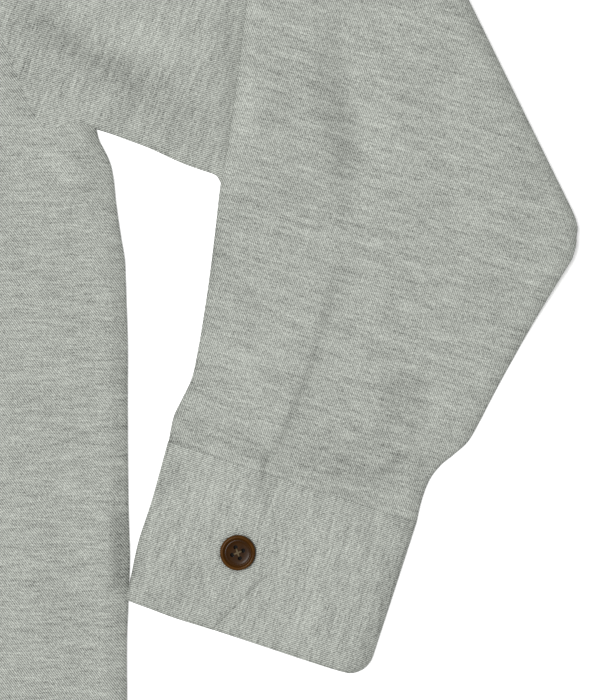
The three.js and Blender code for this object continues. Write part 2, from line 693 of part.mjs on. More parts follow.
const disc = buttonGeometry();
const frontLevel = LAYERS + LAP + SEAM;
for (let i = 0; i <= FRONT_BUTTONS; i += 1) {
  const y = i === 0 ? COLLAR_BUTTON_Y : FIRST_BUTTON_Y - (i - 1) * BUTTON_STEP;
  add(`button_front_${i + 1}`, disc, horn()).position.set(0, y, frontLevel);
}
const cuffButton = cuffPlan(CUFF_BUTTON.u, CUFF_BUTTON.v);
const cuffLevel = CUFF_LEVEL.outer + CUFF_CLOTH / 2 + cuffRise(cuffButton) + SEAM;
for (const [name, side] of [['button_cuff_left', 1], ['button_cuff_right', -1]]) {
  const button = add(name, disc, horn());
  button.position.set(side * (HALF_CHEST + cuffButton.x), cuffButton.y, cuffLevel);
  button.rotation.z = side * CUFF_BUTTON.turn;
}

// The origin is the middle of the garment's box, on the surface it lies on.
const box = new THREE.Box3().setFromObject(jacket, true);
const middle = box.getCenter(vec(0, 0));
jacket.position.set(-middle.x, -middle.y, -box.min.z);

export default jacket;
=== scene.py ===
# %% [markdown]
# # A shirt jacket laid flat
# The jacket lies on its back, buttoned, with both sleeves folded forward at the elbow, so that each
# forearm and its cuff lie over the upper sleeve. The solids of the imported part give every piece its
# place. Here each piece of cloth becomes a thin shell with its rolls and creases, and gets its weave.

# %% Load the solids
import math

import bmesh
import bpy
import mathutils
import numpy as np
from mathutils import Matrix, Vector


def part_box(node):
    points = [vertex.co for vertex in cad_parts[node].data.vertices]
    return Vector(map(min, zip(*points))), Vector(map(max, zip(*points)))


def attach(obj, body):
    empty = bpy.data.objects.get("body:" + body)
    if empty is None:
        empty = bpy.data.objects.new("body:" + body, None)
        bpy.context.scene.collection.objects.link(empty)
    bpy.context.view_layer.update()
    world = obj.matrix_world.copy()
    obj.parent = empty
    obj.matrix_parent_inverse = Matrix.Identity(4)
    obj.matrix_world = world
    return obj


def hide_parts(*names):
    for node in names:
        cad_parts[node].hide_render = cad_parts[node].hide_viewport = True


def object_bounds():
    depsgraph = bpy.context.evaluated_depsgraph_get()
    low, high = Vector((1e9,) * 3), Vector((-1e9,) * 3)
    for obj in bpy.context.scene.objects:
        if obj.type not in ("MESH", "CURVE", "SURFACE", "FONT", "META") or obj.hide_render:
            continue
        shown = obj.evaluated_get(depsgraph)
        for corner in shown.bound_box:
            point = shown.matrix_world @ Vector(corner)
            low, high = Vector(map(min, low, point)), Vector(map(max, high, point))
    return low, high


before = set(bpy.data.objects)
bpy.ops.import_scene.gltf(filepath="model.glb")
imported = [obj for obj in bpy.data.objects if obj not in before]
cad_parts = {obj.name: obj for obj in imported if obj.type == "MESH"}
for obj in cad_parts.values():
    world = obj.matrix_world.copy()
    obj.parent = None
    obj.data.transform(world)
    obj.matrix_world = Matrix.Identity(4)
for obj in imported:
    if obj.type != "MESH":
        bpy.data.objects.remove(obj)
cad_low, cad_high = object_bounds()
print("solids", len(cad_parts), "box", [round(b - a, 3) for a, b in zip(cad_low, cad_high)])

# %% [markdown]
# ## Measuring from the underarm
# A cutter measures a shirt from the corner where side seam, armhole and sleeve meet. All plan sizes
# below are millimetres from the left underarm, x to the wearer's left and y to the collar. The
# garment is even, so the right side is the same piece mirrored.

# %% The underarm's place
HALF_CHEST = 275.0
HEM = 407.0
UNDERARM_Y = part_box("back_panel")[0][1] * 1000 + HEM
MIDDLE = -HALF_CHEST  # x of the centre front, from the underarm
print("underarm line at y =", round(UNDERARM_Y, 2), "mm")

# %% [markdown]
# ## Curves through a few sizes
# A seam line is drawn through a few measured places. A cubic curve through them, with the slope at
# each place taken from its neighbours, has no corners and never strays far from the table.


# %% Helpers for curves
def smooth(value, low, high):
    t = np.clip((np.asarray(value, float) - low) / (high - low), 0, 1)
    return t * t * (3 - 2 * t)


def bell(distance, width):
    """1 at no distance, sinking to nothing a little past the width."""
    return np.exp(-(distance / width) ** 2)


def mix(a, b, t):
    return a + (b - a) * t


def direction(degrees):
    a = np.radians(degrees)
    return np.cos(a), np.sin(a)


def unit(arrow):
    return arrow / np.linalg.norm(arrow)


def through(x, places, values):
    """The smooth curve through values (numbers or points) at the given places."""
    places = np.asarray(places, float)
    values = np.asarray(values, float)
    slopes = np.gradient(values, places, axis=0)
    x = np.clip(x, places[0], places[-1])
    i = np.clip(np.searchsorted(places, x, side="right") - 1, 0, len(places) - 2)
    step = places[i + 1] - places[i]
    t = (x - places[i]) / step
    if values.ndim > 1:
        t, step = t[..., None], step[..., None]
    return ((2 * t**3 - 3 * t**2 + 1) * values[i] + (t**3 - 2 * t**2 + t) * step * slopes[i]
            + (3 * t**2 - 2 * t**3) * values[i + 1] + (t**3 - t**2) * step * slopes[i + 1])


def line_through(points):
    """A function that gives the point at a share, 0 to 1, of the length of a smooth line."""
    points = np.asarray(points, float)
    chord = np.concatenate([[0], np.cumsum(np.hypot(*np.diff(points, axis=0).T))])
    fine = through(np.linspace(0, chord[-1], 400), chord, points)
    run = np.concatenate([[0], np.cumsum(np.hypot(*np.diff(fine, axis=0).T))])

    def at(share):
        d = np.asarray(share) * run[-1]
        return np.stack([np.interp(d, run, fine[:, k]) for k in (0, 1)], axis=-1)

    at.length = run[-1]
    return at


def roll(distance, reach):
    """How far, 0 to 1, a layer has risen at this distance from its folded edge."""
    return np.sqrt(np.clip(1 - (1 - np.clip(distance / reach, 0, 1)) ** 2, 0, 1))


# %% [markdown]
# ## Creases
# Cloth that lies flat keeps soft creases. Each one is a row of a table: the line it follows, how
# wide it is, and how far it rises or sinks. It fades out towards both ends, and its two flanks can
# differ, because a crease usually leans.


# %% A crease's relief
def crease(x, y, path, width, height, fade=0.35, lean=1.0):
    """Relief in mm of a soft ridge or trough along a path. lean over 1 widens its left flank."""
    path = np.asarray(path, float)
    best = np.full(np.shape(x), 1e9)
    share = np.zeros(np.shape(x))
    side = np.zeros(np.shape(x))
    run = np.concatenate([[0], np.cumsum(np.hypot(*np.diff(path, axis=0).T))])
    for i in range(len(path) - 1):
        ax, ay = path[i]
        dx, dy = path[i + 1] - path[i]
        t = np.clip(((x - ax) * dx + (y - ay) * dy) / (dx * dx + dy * dy), 0, 1)
        away = np.hypot(x - ax - t * dx, y - ay - t * dy)
        nearer = away < best
        best = np.where(nearer, away, best)
        share = np.where(nearer, (run[i] + t * (run[i + 1] - run[i])) / run[-1], share)
        side = np.where(nearer, np.sign((x - ax) * dy - (y - ay) * dx), side)
    reach = np.where(side < 0, width * lean, width / lean)
    ends = smooth(share, 0, fade) * (1 - smooth(share, 1 - fade, 1))
    return height * ends * bell(best, reach)


def relief(x, y, table):
    total = np.zeros(np.shape(x))
    for row in table:
        total += crease(x, y, *row)
    return total


# %% [markdown]
# ## A piece of cloth as a grid
# Blender's grid operator gives even squares. Each vertex is then moved to the place that the
# cutter's plan gives it. Squares are closer together beside edges and creases, where the cloth
# bends. Every vertex also keeps its place in the weave, in metres along weft and warp, in a UV map,
# so that threads follow the cut of each piece as they do on the real one.


# %% Build a piece from a grid
CLOTH_WALL = 0.9
CUFF_WALL = 0.6


def mesh_of(name, bm):
    mesh = bpy.data.meshes.new(name)
    bm.to_mesh(mesh)
    bm.free()
    return mesh


def put_in(name, data):
    thing = bpy.data.objects.new(name, data)
    bpy.context.scene.collection.objects.link(thing)
    return thing


def grain(x, y, degrees):
    """Weft and warp coordinates of a plan place on cloth whose weft runs at this angle."""
    c, s = direction(degrees)
    return np.stack([x * c + y * s, y * c - x * s], axis=-1)


def cloth_piece(name, places, weft=0, painted_shading=0.0, cut=None, closed=False, flip=False, wall=CLOTH_WALL):
    """places is (rows, columns, 3) in mm from the underarm, and weft the weft's angle, for all rows
    or each. The argument after weft is the shade and light painted into the colour of each vertex, and cut
    marks those that aren't there."""
    shape = rows, columns = places.shape[:2]
    bm = bmesh.new()
    bmesh.ops.create_grid(bm, x_segments=columns - 1, y_segments=rows - 1, size=1.0)
    mesh = mesh_of(name, bm)
    flat = np.empty(len(mesh.vertices) * 3)
    mesh.vertices.foreach_get("co", flat)
    flat = flat.reshape(-1, 3)
    column = np.rint((flat[:, 0] + 1) / 2 * (columns - 1)).astype(int)
    row = np.rint((flat[:, 1] + 1) / 2 * (rows - 1)).astype(int)
    co = places[row, column] + np.array([HALF_CHEST, UNDERARM_Y, 0])
    mesh.vertices.foreach_set("co", (co / 1000).ravel())
    corner = np.empty(len(mesh.loops), dtype=np.int32)
    mesh.loops.foreach_get("vertex_index", corner)
    first = np.repeat(corner.reshape(-1, 4).min(axis=1), 4)
    x, y, _ = places[row[corner], column[corner]].T
    uv = grain(x, y, np.broadcast_to(weft, rows)[row[first]])
    mesh.uv_layers.new(name="weave").data.foreach_set("uv", (uv / 1000).ravel())
    # painted shade and light of each vertex, kept for the cloth's colour
    painted = np.broadcast_to(painted_shading, shape)[row, column].astype(np.float32)
    mesh.attributes.new("painted_shading", "FLOAT", "POINT").data.foreach_set("value", painted)
    bm = bmesh.new()
    bm.from_mesh(mesh)
    if closed:
        bmesh.ops.remove_doubles(bm, verts=bm.verts, dist=1e-6)
    if cut is not None:
        missing = [v for v in bm.verts if cut[row[v.index], column[v.index]]]
        bmesh.ops.delete(bm, geom=missing, context="VERTS")
    if flip:
        bmesh.ops.reverse_faces(bm, faces=bm.faces)
    for face in bm.faces:
        face.smooth = True
    bm.to_mesh(mesh)
    bm.free()
    piece = put_in(name, mesh)
    solidify = piece.modifiers.new("wall", "SOLIDIFY")
    solidify.thickness = wall / 1000
    solidify.offset = -1
    solidify.use_even_offset = False
    return piece


def mirror_piece(piece, name):
    """The same piece for the wearer's right."""
    copy = piece.copy()
    copy.data = piece.data.copy()
    copy.name = copy.data.name = name
    bpy.context.scene.collection.objects.link(copy)
    bm = bmesh.new()
    bm.from_mesh(copy.data)
    bmesh.ops.scale(bm, vec=(-1, 1, 1), verts=bm.verts)
    bmesh.ops.reverse_faces(bm, faces=bm.faces)
    weave = bm.loops.layers.uv["weave"]
    for face in bm.faces:
        for loop in face.loops:
            loop[weave].uv.x *= -1
    bm.to_mesh(copy.data)
    bm.free()
    return copy


# %% [markdown]
# ## The body
# Front and back lie on each other and meet at the side seams and shoulders, where the cloth rolls
# over in a few millimetres. The armhole seam leaves the underarm level, turns a corner where the
# body's side panel ends, and climbs to the shoulder.

# %% Outline of the body
LAYERS = 5.0  # height of front and back together
ROLL = 6.0
FRONT_ROLL = 10.5  # the front falls over this far towards the side seam
SIDE_LEVEL = 1.0  # height of the side seam above the table
CROWN = 0.7  # the front's soft rise further in
SEAM_DIP = 0.2
TUCK = 2.0  # the body's cloth goes on this far under the sleeve's
LAP = 1.8  # the left front and the stand's left end lie this much higher
LAP_REACH = 15  # and this far past the middle
NECK_HALF, NECK_TOP = 80, 313  # half the neck's width, and its points from the underarm line
FRONT_DROP, BACK_DROP = 85, 22  # how far the neckline hangs below its points
SHOULDER = np.array([-38.0, 262.0])
NECK_POINT = np.array([MIDDLE + NECK_HALF, NECK_TOP])
SIDE_Y = [-407, -320, -257, -230, -212, -194, -176, -158, -122, -95, -77, -68, -59, -50, -41, -32,
          -23, -14.4, -9.5, -5.4, 0]
SIDE_X = [13.9, 13.9, 13.9, 13.9, 14.6, 15.2, 14.7, 14.4, 14.2, 14.2, 13.6, 13.3, 12.9, 11.4, 10.0,
          8.8, 7.9, 6.0, 3.7, 1.5, 0]
armhole = line_through([(0, 0), (-4, 1.7), (-9, 2.5), (-14.5, 1.6), (-19.5, -0.2), (-22.3, -0.4),
                        (-24.6, 2.0), (-27.6, 6.6), (-31.3, 14.7), (-36.9, 29.7), (-42.8, 44),
                        (-48, 75), (-49.5, 110), (-48, 160), (-43.5, 215), tuple(SHOULDER)])
FRONT_EDGE = MIDDLE - LAP_REACH


def side_edge(y):
    return through(y, SIDE_Y, SIDE_X)


def neckline(share, drop):
    turn = share * math.pi / 2
    return np.stack([MIDDLE + NECK_HALF * np.sin(turn), NECK_TOP - drop * np.cos(turn)], axis=-1)


print("armhole seam", round(armhole.length), "mm")

# %% Rows and columns of a body panel
CORNER_X = -22.3  # the armhole's corner, where the side panel ends
NECK_SHARE = 0.55  # share of the armhole at which a panel's rows reach the neckline
near_shares = np.linspace(0, 0.12, 200)
corner_share = float(np.interp(-CORNER_X, -armhole(near_shares)[:, 0], near_shares))
NEAR_EDGE = np.array([0, 0.25, 0.7, 1.3, 2.1, 3.1, 4.4, 6, 8])
UNDERARM_COLUMNS = np.concatenate([NEAR_EDGE, np.arange(9.9, 21.5, 1.9)])
EDGE_REACH = NEAR_EDGE[-1]
SIDE_REACH = 46  # a front's columns keep their distance to the side edge this far
# a column is a share of the panel's width and a distance in mm that is added to it
side_columns = [(0, d) for d in NEAR_EDGE] + [(0, d) for d in np.arange(10.2, SIDE_REACH, 2.3)]
middle_columns = [(f, mix(SIDE_REACH, -EDGE_REACH, f)) for f in np.linspace(0.015, 0.97, 38)]
front_columns = [(1, -d) for d in (EDGE_REACH, 5.5, 3.5, 2, 1, 0.4, 0)]
body_rows = np.concatenate([np.arange(-HEM, -268, 7.0), np.arange(-266, -6, 2.6),
                            [-6, -4.2, -2.8, -1.7, -0.9, -0.4, 0]])
arm_rows = corner_share * armhole.length + np.concatenate([[0.7, 1.8], np.arange(3.4, 80, 2.4)])
arm_rows = np.concatenate([arm_rows, np.linspace(arm_rows[-1] + 4, armhole.length - 8, 26),
                           armhole.length - np.array([6, 4.4, 3.1, 2.1, 1.3, 0.7, 0.25, 0])])


def underarm_line(x):
    """Height of the short seam from the underarm to the armhole's corner."""
    line = armhole(np.linspace(0, corner_share, 80))
    return np.interp(-x, -line[:, 0], line[:, 1])


def body_plan(inner_x, neck_drop, columns):
    """Plan places of a panel, from hem to shoulder and from side to middle, which aren't there, and
    which belong to the seam allowance that is turned in under the sleeve."""
    start = np.stack([side_edge(body_rows), body_rows], axis=-1)[:, None]
    extra = start - UNDERARM_COLUMNS[None, :, None] * np.array([1, 0])
    share = arm_rows / armhole.length
    climb = np.clip((share - corner_share) / (NECK_SHARE - corner_share), 0, 1)
    front = np.stack([np.full(len(share), inner_x), climb * (NECK_TOP - neck_drop)], axis=-1)
    first = math.asin((inner_x - MIDDLE) / NECK_HALF) / (math.pi / 2)
    turn = mix(first, 1, np.clip((share - NECK_SHARE) / (1 - NECK_SHARE), 0, 1))
    left_high = np.where((share > NECK_SHARE)[:, None], neckline(turn, neck_drop), front)
    left_low = np.stack([np.full(len(body_rows), inner_x), body_rows], axis=-1)
    right = np.concatenate([start[:, 0] + np.array([CORNER_X, 0]), armhole(share)])[:, None]
    left = np.concatenate([left_low, left_high])[:, None]
    length = np.linalg.norm(left - right, axis=-1, keepdims=True)
    f, m = np.array(columns).T[:, None, :, None]
    plan = right + (left - right) * (f + m / length)
    below, inner = len(body_rows), len(UNDERARM_COLUMNS)
    turned_in = right[below:] - TUCK * ((left - right) / length)[below:]
    above = np.broadcast_to(turned_in, (len(share), inner, 2))
    plan = np.concatenate([np.concatenate([extra, above]), plan], axis=1)
    lift = underarm_line(plan[..., 0]) * smooth(plan[..., 1], -16, 0)
    plan[:below, :, 1] += lift[:below]
    cut, tuck = np.zeros((2, *plan.shape[:2]), bool)
    cut[below + 1:, :inner - 1] = True
    tuck[below:, inner - 1] = tuck[below, :inner] = True
    plan[below, :inner] = plan[below - 1, :inner] + np.array([0, TUCK])
    return plan, cut, tuck


def seam_distance(x, y):
    """Distance to the armhole seam, for the groove that the stitches pull."""
    away = np.full(x.shape, 99.0)
    for px, py in armhole(np.linspace(0, 1, 240)):
        away = np.minimum(away, np.hypot(x - px, y - py))
    return away


def edge_distance(x, y):
    """Distance to the side seam or the shoulder seam, whichever is nearer."""
    side = np.where(y < 0, side_edge(np.minimum(y, 0)) - x, np.hypot(x, y))
    along = unit(SHOULDER - NECK_POINT)
    shoulder = (NECK_POINT[0] - x) * -along[1] + (NECK_POINT[1] - y) * along[0]
    return np.minimum(side, np.maximum(shoulder, 0))


def neck_lift(x, y):
    """The collar's back lies under the body and lifts it."""
    return 1.3 * smooth(y, 125, 185) * (1 - smooth(np.abs(x - MIDDLE), 115, 175))


def below_shoulder(y):
    """1 on the chest and below, 0 at the shoulder, which lies smooth."""
    return 1 - smooth(y, 150, 200)


def lapped_top(y):
    """Height of the left front's face where the buttons are."""
    return LAYERS + LAP + neck_lift(MIDDLE, y) / 2 + CROWN * below_shoulder(y)


# %% [markdown]
# The creases of the body follow how such a front lies: long soft hollows down the side, a short
# pull from the underarm, and shallow waves across the chest. The same two tables go on over the
# upper sleeve. A row of painted shading has the same columns: its height paints light into the
# cloth's colour, or paints shade where it is below 0.

# %% Creases of the front and the upper sleeve: path, width, height, fade and lean
TOP_CREASES = [
    ([(-21, 4), (-12, -10), (-5, -26), (-2, -44)], 7, 2.0, 0.4, 0.75),
    ([(-49, 62), (-45, 30), (-40, 5)], 13, 2.2, 0.5),
    ([(4, -30), (7, -80), (8, -130), (6.5, -215), (6, -300)], 8, 1.0, 0.15),
    ([(5, -160), (6, -185), (6, -214)], 5, 2.0, 0.3),
    ([(-44, 42), (-37, 14), (-28, -2)], 9, 0.9, 0.5),
    ([(-9, 2.5), (-5, -3), (0, -11)], 2.4, 0.8),
    ([(-16, -3), (-10, -7), (-4, -13)], 2.6, -0.6),
    ([(-13, -30), (-8, -48), (-6, -70)], 5, -0.7),
    ([(-36, -14), (-32, -50), (-26, -90)], 9, -0.9, 0.35, 1.3),
    ([(-60, -95), (-35, -120), (-5, -132)], 8, 0.5),
    ([(-8, -120), (-12, -170), (-4, -215)], 8, -0.8),
    ([(-30, -150), (-32, -200), (-26, -240)], 9, 0.7),
    ([(-110, -40), (-95, -120), (-100, -200), (-88, -290)], 15, 1.6),
    ([(-150, 120), (-120, 40), (-128, -40)], 13, -1.5, 0.35, 1.4),
    ([(-70, 60), (-88, 110), (-90, 180)], 11, 1.3),
    ([(-200, -60), (-185, -150), (-200, -260)], 14, -1.3),
    ([(-60, -260), (-50, -320), (-62, -400)], 12, 1.4, 0.5),
    ([(-230, 60), (-190, 20), (-140, 10)], 9, 1.1),
    ([(-170, -330), (-150, -360), (-140, -404)], 11, -1.3, 0.5),
    ([(-250, -240), (-246, -300), (-252, -360)], 8, 0.9),
    ([(-32, 66), (-24, 58), (-11, 47), (5, 36), (21, 30), (36, 26)], 9.5, -2.6, 0.25, 1.25),
    ([(-36, 46), (-21, 33), (-5, 22.5), (10, 16), (26, 11)], 9, 2.3, 0.25),
    ([(50, 66), (51, 38), (49, 20), (45, 5)], 8, 1.8),
    ([(71, 62), (69, 30), (66, 6), (62, -20)], 7.5, -2.0, 0.12),
    ([(-20, 8), (-8, 7), (6, 3)], 6, 0.7),
    ([(36, 58), (38, 50), (38, 42)], 4.5, 0.8),
    ([(22, 12), (27, 0), (30, -8)], 5, 0.7),
    ([(-38, 62), (-32, 40), (-27, 22)], 8, 0.9),
    ([(-40, 120), (0, 110), (50, 80)], 15, 2.0),
    ([(-42, 180), (0, 165), (60, 130)], 14, -1.9, 0.35, 1.3),
    ([(-30, 235), (20, 215), (60, 180)], 12, 1.3),
]
# Shade and light painted into the cloth's colour, not relief: dark bands along the hollows, beside the
# forearm's fold and on the body's edge under the cuff, and pale bands on the ridges. Rows are path, width,
# height and fade.
TOP_PAINTED_SHADING = [
    ([(-40, 62), (-16, 41), (0, 30), (16, 23.5), (32, 19), (44, 12)], 9, -0.062, 0.15),
    ([(2, 14), (24, 7), (50, -5)], 14, -0.040, 0.25),
    ([(-44, 54), (-32, 30), (-24, 10)], 13, -0.046, 0.35),
    ([(44, 24), (52, 10), (55, -10)], 6, -0.022),
    ([(-10, 45), (11, 41), (29, 38), (47, 33)], 7.5, 0.036),
    ([(66, 66), (63, 40), (60, 16)], 5, -0.015, 0.1),
    ([(-30, 5), (-24, -6), (-16, -17), (-9, -34)], 4.5, 0.040),
    ([(-11, -1), (-7, -4), (-2, -7)], 2.4, 0.03),
    ([(-10.3, 2.7), (-6.7, 1.8), (-3, -0.9), (-0.5, -5)], 1.8, -0.06),
    ([(12, -166), (12.5, -190), (12, -213)], 3.2, -0.10, 0.3),
]


def front_piece(name, lap):
    """A front. lap is how far it is lifted at the centre, where it lies over the other one."""
    plan, cut, tuck = body_plan(FRONT_EDGE, FRONT_DROP, side_columns + middle_columns + front_columns)
    x, y = plan[..., 0], plan[..., 1]
    away = edge_distance(x, y)
    rise = roll(away, FRONT_ROLL)
    low = SIDE_LEVEL + neck_lift(x, y) / 2
    z = low + (LAYERS - low) * rise + neck_lift(x, y) * rise / 2
    z = z + CROWN * smooth(away, 3, 40) * below_shoulder(y)
    creased = smooth(away, 0, 9) * below_shoulder(y) * smooth(x - MIDDLE, LAP_REACH + 1, 44)
    z = z + relief(x, y, TOP_CREASES) * creased
    z = z - SEAM_DIP * bell(seam_distance(x, y), 1.2) - 0.7 * tuck
    z = z + lap * (1 - smooth(x - MIDDLE, LAP_REACH + 1, 34))
    z = z - 0.5 * bell(y + HEM, 1.0) - 0.25 * bell(x - FRONT_EDGE, 0.8)
    # painted shade and light of the front
    painted_shading = relief(x, y, TOP_PAINTED_SHADING)
    return cloth_piece(name, np.stack([x, y, z], -1), painted_shading=painted_shading, cut=cut, flip=True)


front_left = front_piece("front_left_cloth", LAP)
lower_front = front_piece("front_right_base", 0.0)
front_right = mirror_piece(lower_front, "front_right_cloth")
bpy.data.objects.remove(lower_front)
print("front", len(front_left.data.polygons), "squares")

# %% [markdown]
# The back is cut in one piece. It lies on the table, so only its rolled edges and the stretch over
# the collar leave the surface.


# %% The back
def back_piece():
    columns = [(0, d) for d in NEAR_EDGE]
    columns += [(f, EDGE_REACH * (1 - f)) for f in np.linspace(0.03, 1, 40)]
    plan, cut, tuck = body_plan(MIDDLE + 4, BACK_DROP, columns)
    middle = np.stack([np.full(len(plan), MIDDLE), plan[:, -1, 1]], -1)
    first_open = len(body_rows) + int(np.sum(arm_rows <= NECK_SHARE * armhole.length))
    middle[first_open] = neckline(0.0, BACK_DROP)
    opening = np.arange(len(plan)) > first_open
    missing = cut | tuck
    plan = np.concatenate([plan, middle[:, None], plan[:, ::-1] * [-1, 1] + [2 * MIDDLE, 0]], axis=1)
    cut = np.concatenate([missing, opening[:, None], missing[:, ::-1]], axis=1)
    x, y = plan[..., 0], plan[..., 1]
    near = np.where(x < MIDDLE, 2 * MIDDLE - x, x)
    lift = neck_lift(near, y)
    side = SIDE_LEVEL - 0.1 + lift / 2
    z = side - (side - lift) * roll(edge_distance(near, y), 4.0)
    return cloth_piece("back_cloth", np.stack([x, y, z], -1), cut=cut)


back = back_piece()
print("back", len(back.data.polygons), "squares")

# %% [markdown]
# ## The sleeves
# A sleeve is a flat tube. It leaves the armhole, runs to the elbow, is folded over there, and comes
# back over itself as the forearm. A ring of the tube is turned about the fold line by half a turn,
# so the same rule shapes the upper sleeve, the fold and the forearm. Where the forearm runs out
# beside the upper sleeve it sinks to the table.

# %% Lines of the sleeve
FOLD_GAP = 0.8
SLEEVE_ROLL = 8.5  # the layer on view falls over this far towards an edge
EDGE_SINK = 1.2  # and the edge lies this much below the tube's middle
TUBE_HALF = LAYERS / 2
FOLD_RADIUS = (LAYERS + FOLD_GAP) / 2
FOLD_LEVEL = LAYERS + FOLD_GAP / 2
FOLD_SOFT = 1.75  # the fold's bulge is this much longer than high
ELBOW = np.array([220.8, -49.0])
FOLD_TOP = np.array([87.6, 221.9])
fold_out = unit(np.array([FOLD_TOP[1] - ELBOW[1], ELBOW[0] - FOLD_TOP[0]]))
FOLD_REACH = FOLD_LEVEL * FOLD_SOFT
TOP_HANDLE = np.array([52.6, 242.7])
FOREARM = np.array([  # end on the under seam (x, y), end on the lapping edge (x, y)
    (214.5, -59.3, 82.5, 172),
    (205.5, -74, 75.0, 112),
    (195.9, -90.7, 68.2, 58),
    (189.0, -103.3, 63.5, 20),
    (183.4, -113.4, 59.9, -6),
    (178.1, -123.4, 56.4, -26),
    (173.1, -133.1, 54.3, -44),
    (168.1, -141.5, 51.8, -63),
    (161.6, -147.4, 49.0, -82),
    (155.4, -152.6, 46.0, -100),
    (151.0, -158.4, 43.1, -113),
    (148.3, -164.7, 39.0, -121.7),
    (146.5, -171.0, 35.2, -129.6),
])


# the sleeve's under edge, from the underarm to the elbow
UNDER_X = [0, 7.6, 14.9, 22, 29.3, 36.5, 43.7, 50.9, 52.7, 53.6,
           54.5, 55.3, 55.8, 57, 59, 70, 90, 120, 170, 214]
UNDER_Y = [0, -2.4, -5.1, -7.7, -10.9, -14.3, -17.1, -19.5, -20.1, -20.6,
           -21.2, -22.2, -23.3, -25.2, -26.0, -26.9, -30.1, -36.8, -44.8, -48.9]


def under_edge(x):
    return through(x, UNDER_X, UNDER_Y)


def bezier(a, b, c, t):
    t = np.asarray(t)[..., None]
    return a * (1 - t) ** 2 + 2 * b * t * (1 - t) + c * t**2


def to_axis(point, heading):
    """The place on the line that the cloth turns about, going back from a point on the fold."""
    heading = unit(heading)
    return point - heading * FOLD_REACH / heading.dot(fold_out)


under_turn = to_axis(ELBOW, np.array([1.0, -0.02]))
top_turn = to_axis(FOLD_TOP, FOLD_TOP - TOP_HANDLE)
under_back = to_axis(ELBOW, FOREARM[0, :2] - ELBOW)
lap_back = to_axis(FOLD_TOP, FOREARM[0, 2:] - FOLD_TOP)
print("fold", round(float(np.linalg.norm(ELBOW - FOLD_TOP))), "mm long")

# %% [markdown]
# ## The cuff's own frame
# The cuff is set on at a slant. Its plan is measured along its lower edge (u) and up to its seam
# (v) from its lower corner on the lapping side.

# %% Frame of the cuff
CUFF_CORNER = np.array([13.5, -212.3])
CUFF_TURN = -18
CUFF_WIDTH = 114.4
CUFF_DEPTH = 73.5
CUFF_FLARE = -0.05  # how far the lapping edge leans out, for each mm up


def cuff_plan(u, v):
    c, s = direction(CUFF_TURN)
    return np.stack([CUFF_CORNER[0] + u * c - v * s, CUFF_CORNER[1] + u * s + v * c], axis=-1)


def cuff_rise(x, y):
    """The cuff's corner climbs onto the body's side edge."""
    return 4.6 * (1 - smooth(np.hypot(x - CUFF_CORNER[0], y - CUFF_CORNER[1]), 2, 42))


# %% Rings of the sleeve
def sleeve_rings():
    """Under end, top end, turn and share of the armhole's curve, for each ring along the tube."""
    rings = []
    upper = np.concatenate([[0, 0.4, 1, 1.9, 3, 4.3], np.linspace(6, 49.5, 18), np.linspace(50.9, 58, 13),
                            np.linspace(61, 78, 7), np.linspace(84, under_turn[0], 14)]) / under_turn[0]
    for t in upper:
        x = t * under_turn[0]
        keep = (1 - smooth(t, 0, 0.36)) ** 1.5
        rings.append((np.array([x, under_edge(x)]), bezier(SHOULDER, TOP_HANDLE, top_turn, t), 0.0, keep))
    for t in np.linspace(0, 1, 27)[1:]:
        rings.append((mix(under_turn, under_back, t), mix(top_turn, lap_back, t), t * math.pi, 0.0))
    seam = [cuff_plan(u, CUFF_DEPTH) for u in (CUFF_WIDTH, CUFF_FLARE * CUFF_DEPTH)]
    table = np.vstack([np.concatenate([under_back, lap_back]), FOREARM, np.concatenate(seam)])
    run = np.concatenate([[0], np.cumsum(np.linalg.norm(np.diff(table, axis=0), axis=1))])
    places = np.concatenate([np.linspace(0, run[-1] * 0.55, 38)[1:],
                             np.linspace(run[-1] * 0.55, run[-1], 76)[1:]])
    for row in through(places, run, table):
        rings.append((row[:2], row[2:], math.pi, 0.0))
    return rings


rings = sleeve_rings()
print("sleeve", len(rings), "rings")

# %% [markdown]
# The forearm shows the sleeve's back. It has the slit above the cuff, whose front edge laps over
# the other, small puckers where the wider sleeve is sewn to the cuff, and a long hollow above the
# slit.

# %% Creases of the forearm
SLIT = np.array([(76.0, -151.0), (79.7, -146), (85.5, -133.7), (92.3, -117.9), (99, -99.9), (103.8, -79.7),
                 (110.3, -54.9), (113, -46)])
FOREARM_CREASES = [
    ([(110, 60), (115, 30), (119, 8), (121, -12), (119, -32), (114, -54)], 8.5, -3.0, 0.25, 0.85),
    ([(92, 44), (97, 17), (99.5, -5), (102, -28)], 8, 1.6),
    ([(77, 36), (76, 10), (72, -16)], 9, 1.9, 0.35, 1.1),
    ([(128, 40), (131, 10), (130, -30)], 11, 0.9, 0.35, 1.4),
    ([(31, -140.5), (43, -136.5), (51, -136.5), (59, -139.5), (68, -143.5), (76, -147.5),
      (84, -150.5), (93, -153)], 2.8, -1.7, 0.12),
    ([(36, -129), (50, -129), (68, -135)], 4, 0.9),
    ([(79.5, -145), (76.8, -152), (76, -159)], 2.0, -1.2, 0.2),
    ([(126, -98), (128, -120), (122, -142)], 9, 2.0, 0.35, 0.8),
    ([(150, -108), (149, -125), (146, -140)], 8, -1.3),
    ([(90, -139), (110, -135), (134, -138), (158, -146)], 7, 2.4),
    ([(84, -151), (104, -158), (124, -165), (142, -170)], 5.5, -2.3, 0.15),
    ([(119, -156), (129, -151), (140, -144)], 3.2, 2.0),
    ([(104, -160), (108, -151), (110, -143)], 2.6, 0.8),
    ([(145, -163), (150, -154), (157, -147)], 4, -2.0),
    ([(60, -60), (66, -90), (60, -120)], 8, 0.8),
    ([(62, -82), (65, -92), (64, -104)], 4, -0.6),
    ([(150, 20), (160, -20), (158, -70)], 13, -0.8),
    ([(178, 10), (188, -20), (186, -60)], 10, 0.6),
    ([(110, 110), (118, 140), (105, 170)], 12, 1.1),
    ([(95, 90), (100, 130), (96, 170)], 8, -1.1),
]
